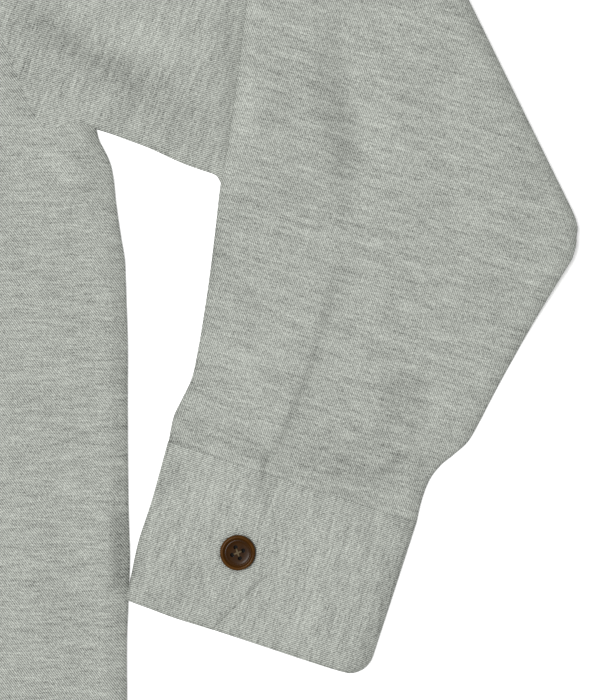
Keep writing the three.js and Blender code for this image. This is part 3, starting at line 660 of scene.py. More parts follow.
# Shade and light painted into the forearm's colour: dark bands along the hollow above the slit, beside the
# slit and above the cuff, and pale bands on the ridges.
FOREARM_PAINTED_SHADING = [
    ([(69, 26), (70, 6), (67, -12)], 6, 0.042),
    ([(90, 30), (103, 20), (110, 4), (113, -12), (109, -30)], 8.5, -0.054, 0.2, 0.75),
    ([(112, -28), (111, -44), (108, -58)], 3, -0.03),
    ([(120, 20), (125, 2), (122, -16)], 6.5, 0.036),
    ([(79.5, -148), (86, -134), (92, -118), (98.5, -100), (103.5, -80), (109, -58)],
     2.6, -0.030, 0.15, 1.5),
    ([(80, -148), (85, -137), (91, -122)], 2.2, -0.03),
    ([(66, -94), (71, -108), (67, -122)], 8, 0.040),
    ([(79, -84), (85, -100), (87, -112)], 5, 0.034),
    ([(134, -106), (139, -120), (131, -132)], 9, -0.048),
    ([(92, -118), (104, -124), (118, -130)], 7, -0.030),
    ([(84, -142), (104, -148), (124, -155), (146, -154)], 9, -0.066, 0.2),
    ([(31, -139), (43, -136.5), (55, -138.5), (68, -142), (82, -148.5)], 2.4, -0.05, 0.1),
    ([(108, -134), (122, -137), (138, -134)], 6, -0.042),
    ([(120, -158), (130, -153), (140, -146)], 2.4, -0.04),
    ([(154, -148), (147, -156), (143, -166)], 4, -0.035),
    ([(57, -38), (54, -58), (52, -74)], 7, -0.050),
    ([(58, -26), (80, -30), (104, -36)], 12, -0.032),
    ([(66, -80), (67, -90), (66, -100)], 5, -0.036),
]


def slit_step(x, y):
    """The slit's front edge lies one layer above its back edge, and both settle into the sleeve."""
    order = np.argsort(SLIT[:, 1])
    line = through(np.clip(y, SLIT[0, 1] - 12, SLIT[-1, 1]), SLIT[order, 1], SLIT[order, 0])
    beyond = x - line
    open_part = smooth(y, -176, -150) * (1 - smooth(y, -85, -46))
    left = np.exp(-(np.clip(-beyond, 0, None) / 15) ** 1.5)
    right = bell(beyond - 9, 12)
    up = 1.4 * left * (1 - smooth(beyond, -1.6, 2.0))
    down = -1.0 * right * smooth(beyond, -1.0, 8)
    return open_part * (up + down)


# %% The sleeve as a folded tube
NEAR_UNDERARM = np.concatenate([UNDERARM_COLUMNS, corner_share * armhole.length
                                + np.array([0, 0.9, 2.0, 3.4, 5.8, 8.2, 10.6, 13, 15.4])])
LAST_NEAR = NEAR_UNDERARM[-1]
STATIONS = [(0, d) for d in NEAR_UNDERARM]
STATIONS += [(f, mix(LAST_NEAR, -EDGE_REACH, f)) for f in np.concatenate([
    np.linspace(0.015, 0.50, 24), np.linspace(0.512, 0.60, 22), np.linspace(0.615, 0.98, 20)])]
STATIONS += [(1, -d) for d in NEAR_EDGE[::-1]]
UPPER_WEFT = 70  # angles of the weft, because each stretch is cut along its own
FOREARM_WEFT = -17.5
CUFF_WEFT = 72


def sleeve_plan(under, top, keep, share, width):
    """Plan places of a ring. Near the armhole it still keeps a share of the armhole's curve."""
    plan = mix(under, top, share[:, None])
    bowed = armhole(share) - share[:, None] * SHOULDER
    near = mix(smooth(share, 0, 0.25), 1.0, smooth(keep, 0.75, 1.0))
    plan = plan + bowed * (keep * near)[:, None]
    plan[:, 1] += 0.6 * under[0] * keep * smooth(width, 0, 12) * (1 - smooth(width, 24, 60))
    return plan


def sleeve_layer(plan, turn, keep, width, lapping, side):
    """x, y, height and painted shade and light of one layer of a ring: the one on top before the elbow
    was folded (side 1) or the one below it (side -1). width and lapping are the distances to the two
    edges."""
    edge = np.minimum(width, lapping)
    seen = (1 + side * math.cos(turn)) / 2
    rise = roll(edge, mix(4.0, mix(SLEEVE_ROLL, FRONT_ROLL, keep), seen))
    level = side * TUBE_HALF * rise - mix(EDGE_SINK, 1.5, keep) * math.cos(turn) * (1 - rise)
    out = (FOLD_RADIUS - level) * FOLD_SOFT * math.sin(turn)
    x, y = (plan + fold_out * out[:, None]).T
    z = FOLD_LEVEL - (FOLD_RADIUS - level) * math.cos(turn)
    painted = np.zeros(len(x))
    inside = smooth(edge, 0, 9)
    if turn > 3.1:
        beyond = under_edge(np.maximum(x, 0)) - y
        z = z - (LAYERS + FOLD_GAP) * smooth(beyond, 14, 58)
        z = z + 0.9 * cuff_rise(x, y)
        if side < 0:
            z = z + relief(x, y, FOREARM_CREASES) * inside + slit_step(x, y)
            # painted shade along the forearm's lapping edge, added to the forearm's painted shade and
            # light
            painted_edge_shade = 0.045 * bell(lapping, 6) + 0.04 * bell(lapping, 1.3)
            painted = relief(x, y, FOREARM_PAINTED_SHADING) - painted_edge_shade * (1 - smooth(y, -42, -20))
    if side > 0 and turn < 0.01:
        crown = CROWN * keep * smooth(width, 3, 40)
        z = z + (relief(x, y, TOP_CREASES) * inside + crown) * below_shoulder(y)
        # painted shade and light of the upper sleeve
        painted = relief(x, y, TOP_PAINTED_SHADING)
    return np.column_stack([x, y, z, painted])


def sleeve_piece():
    f, m = np.array(STATIONS).T
    grid = []
    for under, top, turn, keep in rings:
        length = np.linalg.norm(top - under)
        share = f + m / length
        width = share * length
        plan = sleeve_plan(under, top, keep, share, width)
        front, rear = [sleeve_layer(plan, turn, keep, width, length - width, side) for side in (1, -1)]
        grid.append(np.concatenate([front, rear[-2::-1]]))
    grid = np.array(grid)
    places, painted_shading = grid[..., :3], grid[..., 3]
    corner = np.hypot(places[..., 0] - ELBOW[0], places[..., 1] - ELBOW[1])
    pull = 3.1 * np.clip(1 - corner / 14, 0, 1) ** 2
    places[..., :2] += pull[..., None] * np.array([-0.995, 0.1])
    seam = bell(np.arange(len(rings))[:, None], 3.0)
    places[..., 2] -= SEAM_DIP * seam * (places[..., 2] > 4)
    weft = [FOREARM_WEFT if turn > 1.5 else UPPER_WEFT for _, _, turn, _ in rings]
    return cloth_piece("sleeve_left_cloth", places, weft, painted_shading, closed=True, flip=True)


sleeve_left = sleeve_piece()
sleeve_right = mirror_piece(sleeve_left, "sleeve_right_cloth")
print("sleeve", len(sleeve_left.data.polygons), "squares")

# %% [markdown]
# ## The cuffs
# A cuff is a stiff band with a pointed end. It goes from that point over the left fold, beneath,
# over the right fold and in under the point, which is buttoned down. Its lower right corner is
# rounded, and every edge is turned, so it rolls down by the thickness of the band.

# %% The cuff band
POINT_SHOULDER = 41.2  # where the point starts on the cuff's lower edge
HIGH_SHOULDER = 44.2  # and on its seam
POINT_TIP = 60.7
SMALL_ROUND = 2.2  # of the tip and of the lower left corner
LARGE_ROUND = 11  # of the lower right corner
LEFT_FOLD = 4.5  # how far each fold's round reaches in from its edge
RIGHT_FOLD = 12.0
FOLD_MIDDLE = 1.3  # levels above the band's lowest layer
LEFT_TOP = 5.2
POINT_LEVEL = 5.9
RIGHT_TOP = 6.7
UNDER_POINT = 1.55  # the band sinks by this much where the point lies on it
SEAM_STEP = 0.05  # at its seam the cuff lies this much above the sleeve
# Shade painted into the cuff's colour beside the slit, along the point's edge and near the seam, and a
# little painted light on its broad rises.
CUFF_PAINTED_SHADING = [
    ([(80, -147), (77.2, -154), (76.6, -161), (78.4, -170)], 3.0, -0.055, 0.15),
    ([(80, -199.5), (67, -212.3), (54.5, -224.6)], 1.8, -0.025, 0.1),
    ([(80.5, -183), (83, -190), (81.5, -197)], 1.5, -0.020, 0.2),
    ([(88, -154), (108, -161), (128, -168)], 6, -0.045, 0.2),
    ([(134, -158), (138, -168), (137, -182)], 7, -0.060),
    ([(42, -152), (50, -164), (58, -176)], 12, 0.026),
    ([(104, -172), (106, -190), (102, -214)], 9, 0.018),
]
CUFF_CREASES = [
    ([(79, -146), (76.4, -154), (76.2, -161), (78.4, -170)], 2.0, -1.0, 0.2),
    ([(80, -199.5), (67, -212.3), (54.5, -224.6)], 1.6, -0.4, 0.1),
    ([(34, -160), (46, -166), (60, -168)], 9, 0.5),
    ([(30, -190), (38, -200), (48, -212)], 8, -0.5),
    ([(100, -168), (104, -190), (108, -216)], 8, 0.7, 0.35, 0.8),
    ([(84, -196), (92, -210), (96, -226)], 8, -0.4),
    ([(120, -166), (126, -176), (128, -190)], 5, -0.6),
    ([(68, -185), (72, -176), (71, -166)], 4, 0.5),
]


def fold_round(angles, reach, top):
    """Distance from the edge and level of the stations round a fold."""
    rows = []
    for angle in angles:
        c, s = direction(angle)
        high = top - FOLD_MIDDLE if angle > 0 else FOLD_MIDDLE
        rows.append((reach * (1 - c), FOLD_MIDDLE + high * s))
    return rows


def cuff_stations(v):
    """Place across and level of each station round the band, from its point to its inner end."""
    reach = CUFF_DEPTH / 2
    soft, most = [np.hypot(d, SMALL_ROUND) - SMALL_ROUND for d in (v - reach, reach)]
    tip = POINT_TIP - (POINT_TIP - np.where(v > reach, HIGH_SHOULDER, POINT_SHOULDER)) * soft / most
    rows = [(tip - d, POINT_LEVEL - drop) for d, drop in (
        (0, 0.62), (0.15, 0.50), (0.5, 0.34), (1.0, 0.18), (1.8, 0.06), (3.0, 0))]
    rows += [(mix(tip - 3.0, LEFT_FOLD, f), mix(POINT_LEVEL, LEFT_TOP, f))
             for f in np.linspace(0.06, 1, 22)]
    rows += fold_round(np.linspace(80, -80, 13), LEFT_FOLD, LEFT_TOP)
    rows += [(u, 0) for u in np.linspace(8, CUFF_WIDTH - 12, 16)]
    rows += [(CUFF_WIDTH - u, level)
             for u, level in fold_round(np.linspace(-85, 85, 15), RIGHT_FOLD, RIGHT_TOP)]
    rows += [(u, RIGHT_TOP - UNDER_POINT * (1 - smooth(u, 44, 96)))
             for u in np.linspace(CUFF_WIDTH - RIGHT_FOLD - 2, 14, 44)]
    return rows


def corner_inset(v, height, radius):
    """How far a rounded corner lies inside the edge's line, at v above the lower edge."""
    short = np.clip(height - v, 0, radius)
    return radius - np.sqrt(np.maximum(radius**2 - short**2, 0))


def cuff_piece():
    v = np.concatenate([[0, 0.15, 0.45, 0.9, 1.5, 2.4], np.linspace(3.6, CUFF_DEPTH - 3.6, 40),
                        CUFF_DEPTH - np.array([2.4, 1.5, 0.9, 0.45, 0.15, 0])])
    u, z = np.array([(across + 0 * v, level + 0 * v) for across, level in cuff_stations(v)]).swapaxes(0, 1)
    v = np.broadcast_to(v, u.shape)
    bow = bell(v - 27, 13) + 0.25 * smooth(v, 4, 20)
    left = CUFF_FLARE * v + corner_inset(v, SMALL_ROUND, SMALL_ROUND) - bow
    right = corner_inset(v, LARGE_ROUND - 0.4, LARGE_ROUND)
    across = u - right * smooth(u, 60, 105) + left * (1 - smooth(u, 0, 60))
    sag = 1.1 * smooth(u, 2, 26) * (1 - smooth(v, 0, 34))
    plan = cuff_plan(across, v - sag)
    x, y = plan[..., 0], plan[..., 1]
    top = smooth(z, 2.6, 3.6)  # 1 on the layers on view
    turned = smooth(z, 0.2, 5.0)
    inside = smooth(u, 0, 9) * smooth(CUFF_WIDTH - u, 0, 9)
    seam = smooth(v, 52, CUFF_DEPTH)  # towards the seam the cuff lies as the sleeve does
    joined = LAYERS + SEAM_STEP + (relief(x, y, FOREARM_CREASES) + slit_step(x, y)) * inside
    share = np.clip((z - FOLD_MIDDLE) / (LEFT_TOP - FOLD_MIDDLE), 0, 1)
    z = mix(z, FOLD_MIDDLE + (joined - FOLD_MIDDLE) * share, seam * top)
    hemmed = 1.6 * (1 - roll(v, 2.8)) + 0.15 * (1 - roll(CUFF_DEPTH - v, 1.0))
    edge = np.minimum(v, CUFF_DEPTH - v)
    z = z - turned * hemmed + (1 - turned) * 0.5 * (1 - roll(edge, 1.0))
    z = z + cuff_rise(x, y) * mix(1.0, 0.9, seam) + top * relief(x, y, CUFF_CREASES) * smooth(edge, 0, 6)
    # painted shade along the cuff's two folds and its lower edge, with its table's painted shade and
    # light, on the faces on view
    painted_edge_shade = 0.045 * bell(u, 5) + 0.03 * bell(v, 1.6) + 0.045 * bell(CUFF_WIDTH - u, 8)
    painted_shading = (relief(x, y, CUFF_PAINTED_SHADING) - painted_edge_shade) * top
    return cloth_piece("cuff_left_cloth", np.stack([x, y, z], -1), CUFF_WEFT, painted_shading, wall=CUFF_WALL)


cuff_left = cuff_piece()
cuff_right = mirror_piece(cuff_left, "cuff_right_cloth")
print("cuff", len(cuff_left.data.polygons), "squares")

# %% [markdown]
# ## The collar
# The stand is a narrow band sewn round the neck. The fall is sewn to the stand's top edge, turns
# over it and comes down outside, to two points in front. Lying flat, its back half is underneath.
# A side of 1 means the half on view, and -1 the half beneath.

# %% Lines of the collar, from the centre front
COLLAR_POINT = np.array([48.0, 196.0])
FALL_SIDE = np.array([100.0, 311.0])
# rings round the neck: half width, level of the ends, and how far each hangs in front and behind
SEAM_RING = (NECK_HALF, NECK_TOP, FRONT_DROP, BACK_DROP)
TOP_RING = (62, 345, 87, 18)
TURN_RING = (63.5, 346.5, 87, 18)
EDGE_RING = (*FALL_SIDE, 30, 30)
COLLAR_MIDDLE = 3.15  # height between the collar's front and back halves
STAND_HALF = 1.35  # and how far stand and fall lie from it
FALL_HALF = 2.65
FALL_ANGLES = [4.6, 11.7, 30, 50, 69, 78, 90]  # the front edge's shares of its length by angle
FALL_SHARES = [0, 0.09, 0.32, 0.66, 0.962, 0.989, 1]
STAND_ROWS = np.concatenate([[-0.06], np.linspace(0, 1, 9)])
SEAM_SINK = 0.4  # the stand's lower edge is turned in under the neckline


def ring_place(ring, degrees, side):
    half, end, front, rear = ring
    turn = np.radians(degrees)
    return np.stack([half * np.sin(turn), end - (front if side > 0 else rear) * np.cos(turn)], axis=-1)


def collar_rounds(first):
    """Angles round half the neck, front side then back side."""
    front = np.concatenate([np.linspace(first, 66, 26), np.linspace(69, 90, 12)])
    rear = np.concatenate([np.linspace(88, 69, 10), np.linspace(66, 0, 20)])
    return [(a, 1) for a in front] + [(a, -1) for a in rear]


def lap_rise(x):
    return LAP * (1 - smooth(x, 16, 32))


def both_halves(build):
    """Joins the left half, whose front laps over, to the mirrored right half at the back middle."""
    right = np.array(build(False))[-2::-1] * np.array([-1, 1, 1])
    return np.concatenate([build(True), right]) + np.array([MIDDLE, 0, 0])


def stand_height(x, side, share=1.0, low_rise=0.0):
    """Height of the stand at a share of its width, 1 at its top."""
    rise = mix(low_rise, roll(TOP_RING[0] - abs(x), 3.0), share)
    return COLLAR_MIDDLE + side * STAND_HALF * rise


def stand_half(on_top):
    columns = []
    for angle, side in collar_rounds(-10.8):
        low, high = [ring_place(ring, angle, side) for ring in (SEAM_RING, TOP_RING)]
        lap = lap_rise(low[0]) if on_top and side > 0 else 0
        low_rise = roll(edge_distance(low[0] + MIDDLE, low[1]), ROLL)
        z = stand_height(high[0], side, STAND_ROWS, low_rise) + lap - SEAM_SINK * (STAND_ROWS <= 0)
        columns.append(np.column_stack([mix(low, high, STAND_ROWS[:, None]), z]))
    return columns


def fall_half(on_top):
    corner = np.array(TURN_RING[:2])
    heading = unit(FALL_SIDE - corner)
    out = np.array([-heading[1], heading[0]])

    def height(p, side):
        rise = roll((corner - p) @ out, 5.0)
        lift = LAP * (1 - smooth(p[..., 0], 26, 52)) if side > 0 else 0
        return COLLAR_MIDDLE + side * FALL_HALF * rise + lift

    columns = []
    for angle, side in collar_rounds(4.6):
        seam, stand, top = [ring_place(ring, angle, side) for ring in (SEAM_RING, TOP_RING, TURN_RING)]
        beyond = unit(stand - seam)
        edge = ring_place(EDGE_RING, angle, side)
        if side > 0:
            edge = mix(COLLAR_POINT, FALL_SIDE, through(angle, FALL_ANGLES, FALL_SHARES))
        stand_z = stand_height(stand[0], side)
        stand_z += lap_rise(stand[0]) if on_top and side > 0 else 0
        outer_z = height(top, side)
        at_side = 0.9 * math.sin(math.radians(angle)) ** 8
        hook = [(*(stand + beyond * (1.2 + at_side)), stand_z),
                (*(top + beyond * (1.3 + at_side)), (stand_z + outer_z) / 2),
                (*top, outer_z)]
        start = through(np.linspace(0, 2, 9), [0, 1, 2], hook)
        t = np.concatenate([np.linspace(0.06, 0.94, 14), [0.975, 0.992, 1.0]])
        xy = mix(top, edge, t[:, None])
        z = height(xy, side) + side * 0.35 * (np.sin(t * math.pi) - smooth(t, 0.975, 1.0))
        columns.append(np.concatenate([start, np.column_stack([xy, z])]))
    return columns


def collar_piece(name, build):
    piece = cloth_piece(name, both_halves(build))
    piece.modifiers["wall"].offset = 0
    return piece


stand = collar_piece("collar_stand_cloth", stand_half)
fall = collar_piece("collar_fall_cloth", fall_half)
print("collar", len(stand.data.polygons) + len(fall.data.polygons), "squares")

# %% [markdown]
# ## The buttons
# The buttons are turned from a dark, horn-like resin: a rounded rim, a dished middle and four holes.
# A turned shape is a profile spun round its axis. The holes are cut with four small cylinders.

# %% A turned button
HOLE_RADIUS = 0.98
HOLE_SPACING = 3.72
HOLE_FLOOR = 0.25  # the holes end this far above the underside
DRILL_LENGTH = 12
BUTTON_PROFILE = [  # radius and height, from the underside's middle to the dish
    (0, 0), (6.6, 0), (7.3, 0.25), (7.8, 0.8), (8.0, 1.5), (7.95, 2.05), (7.75, 2.5), (7.45, 2.82),
    (7.1, 2.97), (6.8, 2.95), (6.55, 2.82), (6.35, 2.58), (6.2, 2.38), (6.0, 2.26), (5.75, 2.22),
    (5.5, 2.28), (5.2, 2.3), (4.95, 2.22), (4.6, 2.18), (2.6, 2.16), (0, 2.15),
]


def turned_button():
    bm = bmesh.new()
    ring = [bm.verts.new((r, 0, h)) for r, h in BUTTON_PROFILE]
    edges = [bm.edges.new(pair) for pair in zip(ring, ring[1:])]
    bmesh.ops.spin(bm, geom=ring + edges, cent=(0, 0, 0), axis=(0, 0, 1), angle=math.tau, steps=72,
                   use_merge=True)
    bmesh.ops.remove_doubles(bm, verts=bm.verts, dist=1e-4)
    bmesh.ops.recalc_face_normals(bm, faces=bm.faces)
    body = put_in("turned_button", mesh_of("turned_button", bm))
    bm = bmesh.new()
    for sx in (-1, 1):
        for sy in (-1, 1):
            made = bmesh.ops.create_cone(bm, cap_ends=True, segments=20, radius1=HOLE_RADIUS,
                                         radius2=HOLE_RADIUS, depth=DRILL_LENGTH)
            place = (sx * HOLE_SPACING / 2, sy * HOLE_SPACING / 2, HOLE_FLOOR + DRILL_LENGTH / 2)
            bmesh.ops.translate(bm, verts=made["verts"], vec=place)
    drill = put_in("drill", mesh_of("drill", bm))
    cut = body.modifiers.new("holes", "BOOLEAN")
    cut.operation = "DIFFERENCE"
    cut.object = drill
    cut.solver = "EXACT"
    bpy.context.view_layer.update()
    graph = bpy.context.evaluated_depsgraph_get()
    done = bpy.data.meshes.new_from_object(body.evaluated_get(graph))
    for thing in (body, drill):
        bpy.data.objects.remove(thing)
    co = np.array([v.co for v in done.vertices])
    radius = np.hypot(co[:, 0], co[:, 1])
    # The hole walls get painted shade, the resin's darkest colour, nearly black. The rim's paler tone is
    # the resin's own.
    painted_dark_holes = (radius < 5) & (co[:, 2] > 0.01) & (co[:, 2] < 1.5)
    rim_tone_and_hole_shade = np.where(painted_dark_holes, -1.0, smooth(radius, 5.7, 6.9)).astype(np.float32)
    done.attributes.new("rim_tone_and_hole_shade", "FLOAT", "POINT").data.foreach_set("value", rim_tone_and_hole_shade)
    done.set_sharp_from_angle(angle=math.radians(45))
    return done


button_mesh = turned_button()
print("button", len(button_mesh.vertices), "vertices")

# %% [markdown]
# The thread goes down one hole and up the one across, in several turns, so a small cross of strands
# lies in the dish.


# %% The thread on a button
STRAND = [  # half a strand: distance from the middle and height
    (0, 2.32), (0.5, 2.32), (0.9, 2.31), (1.25, 2.28), (1.5, 2.18), (1.72, 1.95), (1.86, 1.55),
    (1.92, 1.0), (1.94, 0.5),
]
STRAND_GAP = 0.26
THREAD_RADIUS = 0.16  # also how far the second pair of holes' strands lie higher


def thread_cross():
    bm = bmesh.new()
    for turn, lift in ((45, 0.0), (135, THREAD_RADIUS)):
        along = np.array(direction(turn))
        beside = np.array([-along[1], along[0]])
        for k in (-1, 0, 1):
            half = [(r, h + lift * (1 - (r / 2) ** 2) + 0.06 * (k == 0)) for r, h in STRAND]
            half = [(-r, h) for r, h in half[:0:-1]] + half
            path = [(*(along * r + beside * (STRAND_GAP * k * (1 - 0.12 * abs(r)))), h) for r, h in half]
            rings = []
            for i, p in enumerate(path):
                made = bmesh.ops.create_circle(bm, segments=8, radius=THREAD_RADIUS)
                nose = np.array(path[min(i + 1, len(path) - 1)]) - np.array(path[max(i - 1, 0)])
                tilt = math.atan2(nose[2], math.hypot(nose[0], nose[1]))
                turn_to = (mathutils.Matrix.Translation(p)
                           @ mathutils.Matrix.Rotation(math.radians(turn), 4, "Z")
                           @ mathutils.Matrix.Rotation(math.pi / 2 - tilt, 4, "Y"))
                bmesh.ops.transform(bm, matrix=turn_to, verts=made["verts"])
                rings.append(made["verts"])
            for one, two in zip(rings, rings[1:]):
                edges = list({e for v in one + two for e in v.link_edges
                              if all(w in one for w in e.verts) or all(w in two for w in e.verts)})
                bmesh.ops.bridge_loops(bm, edges=edges)
    bmesh.ops.recalc_face_normals(bm, faces=bm.faces)
    return mesh_of("thread_cross", bm)


thread_mesh = thread_cross()
print("thread", len(thread_mesh.vertices), "vertices")


# %% Place the buttons
FRONT_TURNS = [8, -14, 21, -5, 33, 12, -27]
CUFF_TURNS = {"button_cuff_left": -23.7, "button_cuff_right": 31.0}
OFF_MIDDLE = 0.6  # mm that the cuff's buttons sit inward and down from their solids
STAND_SEAT = 4.95 + LAP  # the stand's face at its button
FRONT_BED = 0.15  # a front button beds this far into the cloth
CUFF_BED = 0.2


def button_place(node):
    """The middle of a button's underside."""
    low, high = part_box(node)
    x, y = (low[0] + high[0]) / 2, (low[1] + high[1]) / 2
    if node in CUFF_TURNS:
        inward = -math.copysign(OFF_MIDDLE, x) / 1000
        return x + inward, y - OFF_MIDDLE / 1000, low[2] - CUFF_BED / 1000
    seat = STAND_SEAT if node == "button_front_1" else lapped_top(y * 1000 - UNDERARM_Y)
    return x, y, (float(seat) - FRONT_BED) / 1000


def sew_on(mesh, name, place, degrees):
    copy = mesh.copy()
    copy.name = name
    copy.transform(mathutils.Matrix.Translation(place)
                   @ mathutils.Matrix.Rotation(math.radians(degrees), 4, "Z")
                   @ mathutils.Matrix.Scale(0.001, 4))
    for face in copy.polygons:
        face.use_smooth = True
    return put_in(name, copy)


buttons = {f"button_front_{i + 1}": turn for i, turn in enumerate(FRONT_TURNS)} | CUFF_TURNS
sewn = []
for node, turn in buttons.items():
    disc, thread = [sew_on(mesh, node + ending, button_place(node), turn)
                    for mesh, ending in ((button_mesh, "_disc"), (thread_mesh, "_thread"))]
    sewn.append((node, disc, thread))
print("buttons", len(sewn))

# %% [markdown]
# ## The cloth's finish
# The cloth is a fine melange twill. Light and dark fibres are mixed in every yarn, the twill line
# climbs steeply across the weft, and thicker places in the weft yarn leave short pale and dark
# streaks. All of it is worked out in millimetres on the weave map.


# %% Node helpers
class Nodes:
    def __init__(self, name):
        self.material = bpy.data.materials.new(name)
        self.material.use_nodes = True
        self.tree = self.material.node_tree
        self.tree.nodes.clear()

    def add(self, kind, inputs, **settings):
        node = self.tree.nodes.new("ShaderNode" + kind)
        for key, value in settings.items():
            setattr(node, key, value)
        for key, value in inputs.items():
            if isinstance(value, bpy.types.NodeSocket):
                self.tree.links.new(value, node.inputs[key])
            else:
                node.inputs[key].default_value = value
        return node

    def math(self, operation, *values):
        return self.add("Math", dict(enumerate(values)), operation=operation).outputs[0]

    def in_mm(self, place, shift=0.0):
        return self.add("Mapping", {"Vector": place, "Scale": (1000, 1000, 1000),
                                    "Location": (shift, shift * 0.7, 0)}).outputs[0]

    def noise(self, vector, size, detail, roughness):
        """Noise whose features are about size = (across, along) mm, from -1 to 1."""
        scaled = self.add("Mapping", {"Vector": vector, "Scale": (1 / size[0], 1 / size[1], 1)})
        noise = self.add("TexNoise", {"Vector": scaled.outputs[0], "Scale": 1.0, "Detail": detail,
                                      "Roughness": roughness}, noise_dimensions="2D")
        return self.math("MULTIPLY_ADD", noise.outputs["Fac"], 2.0, -1.0)

    def ramp(self, factor, stops):
        """A colour for the factor, from stops of (place, colour), first and last one first and last."""
        node = self.add("ValToRGB", {"Fac": factor})
        found = node.color_ramp.elements
        for element, (place, colour) in zip(found, (stops[0], stops[-1])):
            element.position, element.color = place, (*colour, 1)
        for place, colour in stops[1:-1]:
            found.new(place).color = (*colour, 1)
        return node.outputs["Color"]

    def surface(self, inputs):
        shader = self.add("BsdfPrincipled", inputs)
        self.add("OutputMaterial", {"Surface": shader.outputs[0]})
        return self.material


# %% The twill
TWILL_PITCH = 0.86  # mm between twill lines
TWILL_ANGLE = 52.5  # degrees down from the weft


YARNS = {  # noise: size across and along in mm, detail, roughness and share
    "fibre": (1.3, 1.0, 3.0, 0.8, 0.34),
    "speck": (0.75, 0.6, 1.0, 0.6, 0.26),
    "heather": (4.0, 3.0, 2.0, 0.6, 0.07),
    "slub": (8, 0.7, 2.0, 0.55, 0.18),
    "long slub": (20, 2.2, 2.0, 0.55, 0.12),
    "patch": (34, 5.5, 3.0, 0.6, 0.08),
}
CLOTH_TONE = (0.300, 0.3135, 0.286)


def button_shade(n, weave, button):
    """A soft dark ring on the cuff's upper face, where the button keeps the light off."""
    place = n.add("VectorMath", {0: weave}, operation="ABSOLUTE").outputs["Vector"]
    away = n.add("VectorMath", {0: place, 1: button}, operation="DISTANCE").outputs["Value"]
    shade = n.add("MapRange", {"Value": away, "From Min": 0.0080, "From Max": 0.0102,
                               "To Min": -0.115, "To Max": 0.0},
                  interpolation_type="SMOOTHSTEP").outputs["Result"]
    point = n.add("TexCoord", {}).outputs["Object"]
    level = n.add("SeparateXYZ", {"Vector": point}).outputs["Z"]
    return shade, n.math("GREATER_THAN", level, 0.0042)


def twill(name, shift, depth, pale, button=None):
    """shift moves the pattern, depth is the contrast of the twill lines and pale a factor on the
    tone. button is the place, on the weave map in metres, of a button that shades the cloth."""
    n = Nodes(name)
    weave = n.add("UVMap", {}, uv_map="weave").outputs[0]
    mm = n.in_mm(weave, shift)
    slope = (*[c / TWILL_PITCH for c in direction(TWILL_ANGLE)[::-1]], 0)
    across = n.add("VectorMath", {0: mm, 1: slope}, operation="DOT_PRODUCT").outputs["Value"]
    phase = n.math("MULTIPLY_ADD", n.noise(mm, (9, 5), 2.0, 0.5), 0.30, across)
    lines = n.math("SINE", n.math("MULTIPLY", phase, math.tau))
    yarn = {kind: n.noise(mm, row[:2], row[2], row[3]) for kind, row in YARNS.items()}
    broken = n.math("MULTIPLY_ADD", yarn["fibre"], 0.9, 1.0)
    value = n.math("MULTIPLY", n.math("MULTIPLY", lines, broken), depth)
    for kind, part in yarn.items():
        value = n.math("MULTIPLY_ADD", part, YARNS[kind][4], value)
    if button is not None:
        value = n.math("MULTIPLY_ADD", *button_shade(n, weave, button), value)
    # the painted shade and light of each vertex, added to the cloth's colour
    painted = n.add("Attribute", {}, attribute_name="painted_shading").outputs["Fac"]
    factor = n.math("ADD", n.math("ADD", value, painted), 0.5)
    dark, light = [tuple(c * pale * k for c in CLOTH_TONE) for k in (0.08, 1.92)]
    thick = n.math("MULTIPLY_ADD", yarn["fibre"], 0.6, n.math("MULTIPLY", yarn["slub"], 0.8))
    height = n.math("MULTIPLY_ADD", lines, 0.6, thick)
    bump = n.add("Bump", {"Height": height, "Strength": 0.5, "Distance": 0.00006})
    return n.surface({"Base Color": n.ramp(factor, [(0, dark), (1, light)]), "Roughness": 0.92,
                      "Specular IOR Level": 0.12, "Sheen Weight": 0.03, "Sheen Roughness": 0.5,
                      "Normal": bump.outputs["Normal"]})


x, y, z = button_place("button_cuff_left")
sewn_at = grain(x * 1000 - HALF_CHEST, y * 1000 - UNDERARM_Y, CUFF_WEFT) / 1000
sewn_at = (*np.abs(sewn_at), 0.0)
cloth = {
    "body": twill("melange_twill_body", 0.0, 0.245, 0.987),
    "sleeve": twill("melange_twill_sleeve", 37.0, 0.2, 1.008),
    "cuff": twill("melange_twill_cuff", 91.0, 0.2, 1.022, sewn_at),
    "collar": twill("melange_twill_collar", 63.0, 0.25, 1.0),
}
print("cloth finishes", len(cloth))


# %% The button resin and the thread
def resin():
    n = Nodes("horn_resin")
    mm = n.in_mm(n.add("TexCoord", {}).outputs["Object"])
    cloud = n.add("TexNoise", {"Vector": mm, "Scale": 0.28, "Detail": 4.0, "Roughness": 0.6,
                               "Distortion": 0.6})
    # the rim's own paler tone, and painted shade that makes the holes nearly black
    rim_tone_and_hole_shade = n.add("Attribute", {}, attribute_name="rim_tone_and_hole_shade").outputs["Fac"]
    warmth_and_hole_shade = n.math("MULTIPLY_ADD", rim_tone_and_hole_shade, 0.6, n.math("MULTIPLY", cloud.outputs["Fac"], 0.4))
    colour = n.ramp(warmth_and_hole_shade, [(0.0, (0.003, 0.002, 0.002)), (0.12, (0.020, 0.0075, 0.0016)),
                             (0.30, (0.036, 0.0135, 0.0020)), (0.72, (0.046, 0.0170, 0.0024)),
                             (0.92, (0.082, 0.033, 0.0045))])
    return n.surface({"Base Color": colour, "Roughness": 0.24, "Specular IOR Level": 0.05})


def thread_finish():
    n = Nodes("sewing_thread")
    place = n.add("TexCoord", {}).outputs["Object"]
    twist = n.add("TexWave", {"Vector": place, "Scale": 900.0, "Distortion": 1.0})
    colour = n.ramp(twist.outputs["Fac"], [(0, (0.070, 0.045, 0.018)), (1, (0.120, 0.085, 0.036))])
    return n.surface({"Base Color": colour, "Roughness": 0.7})


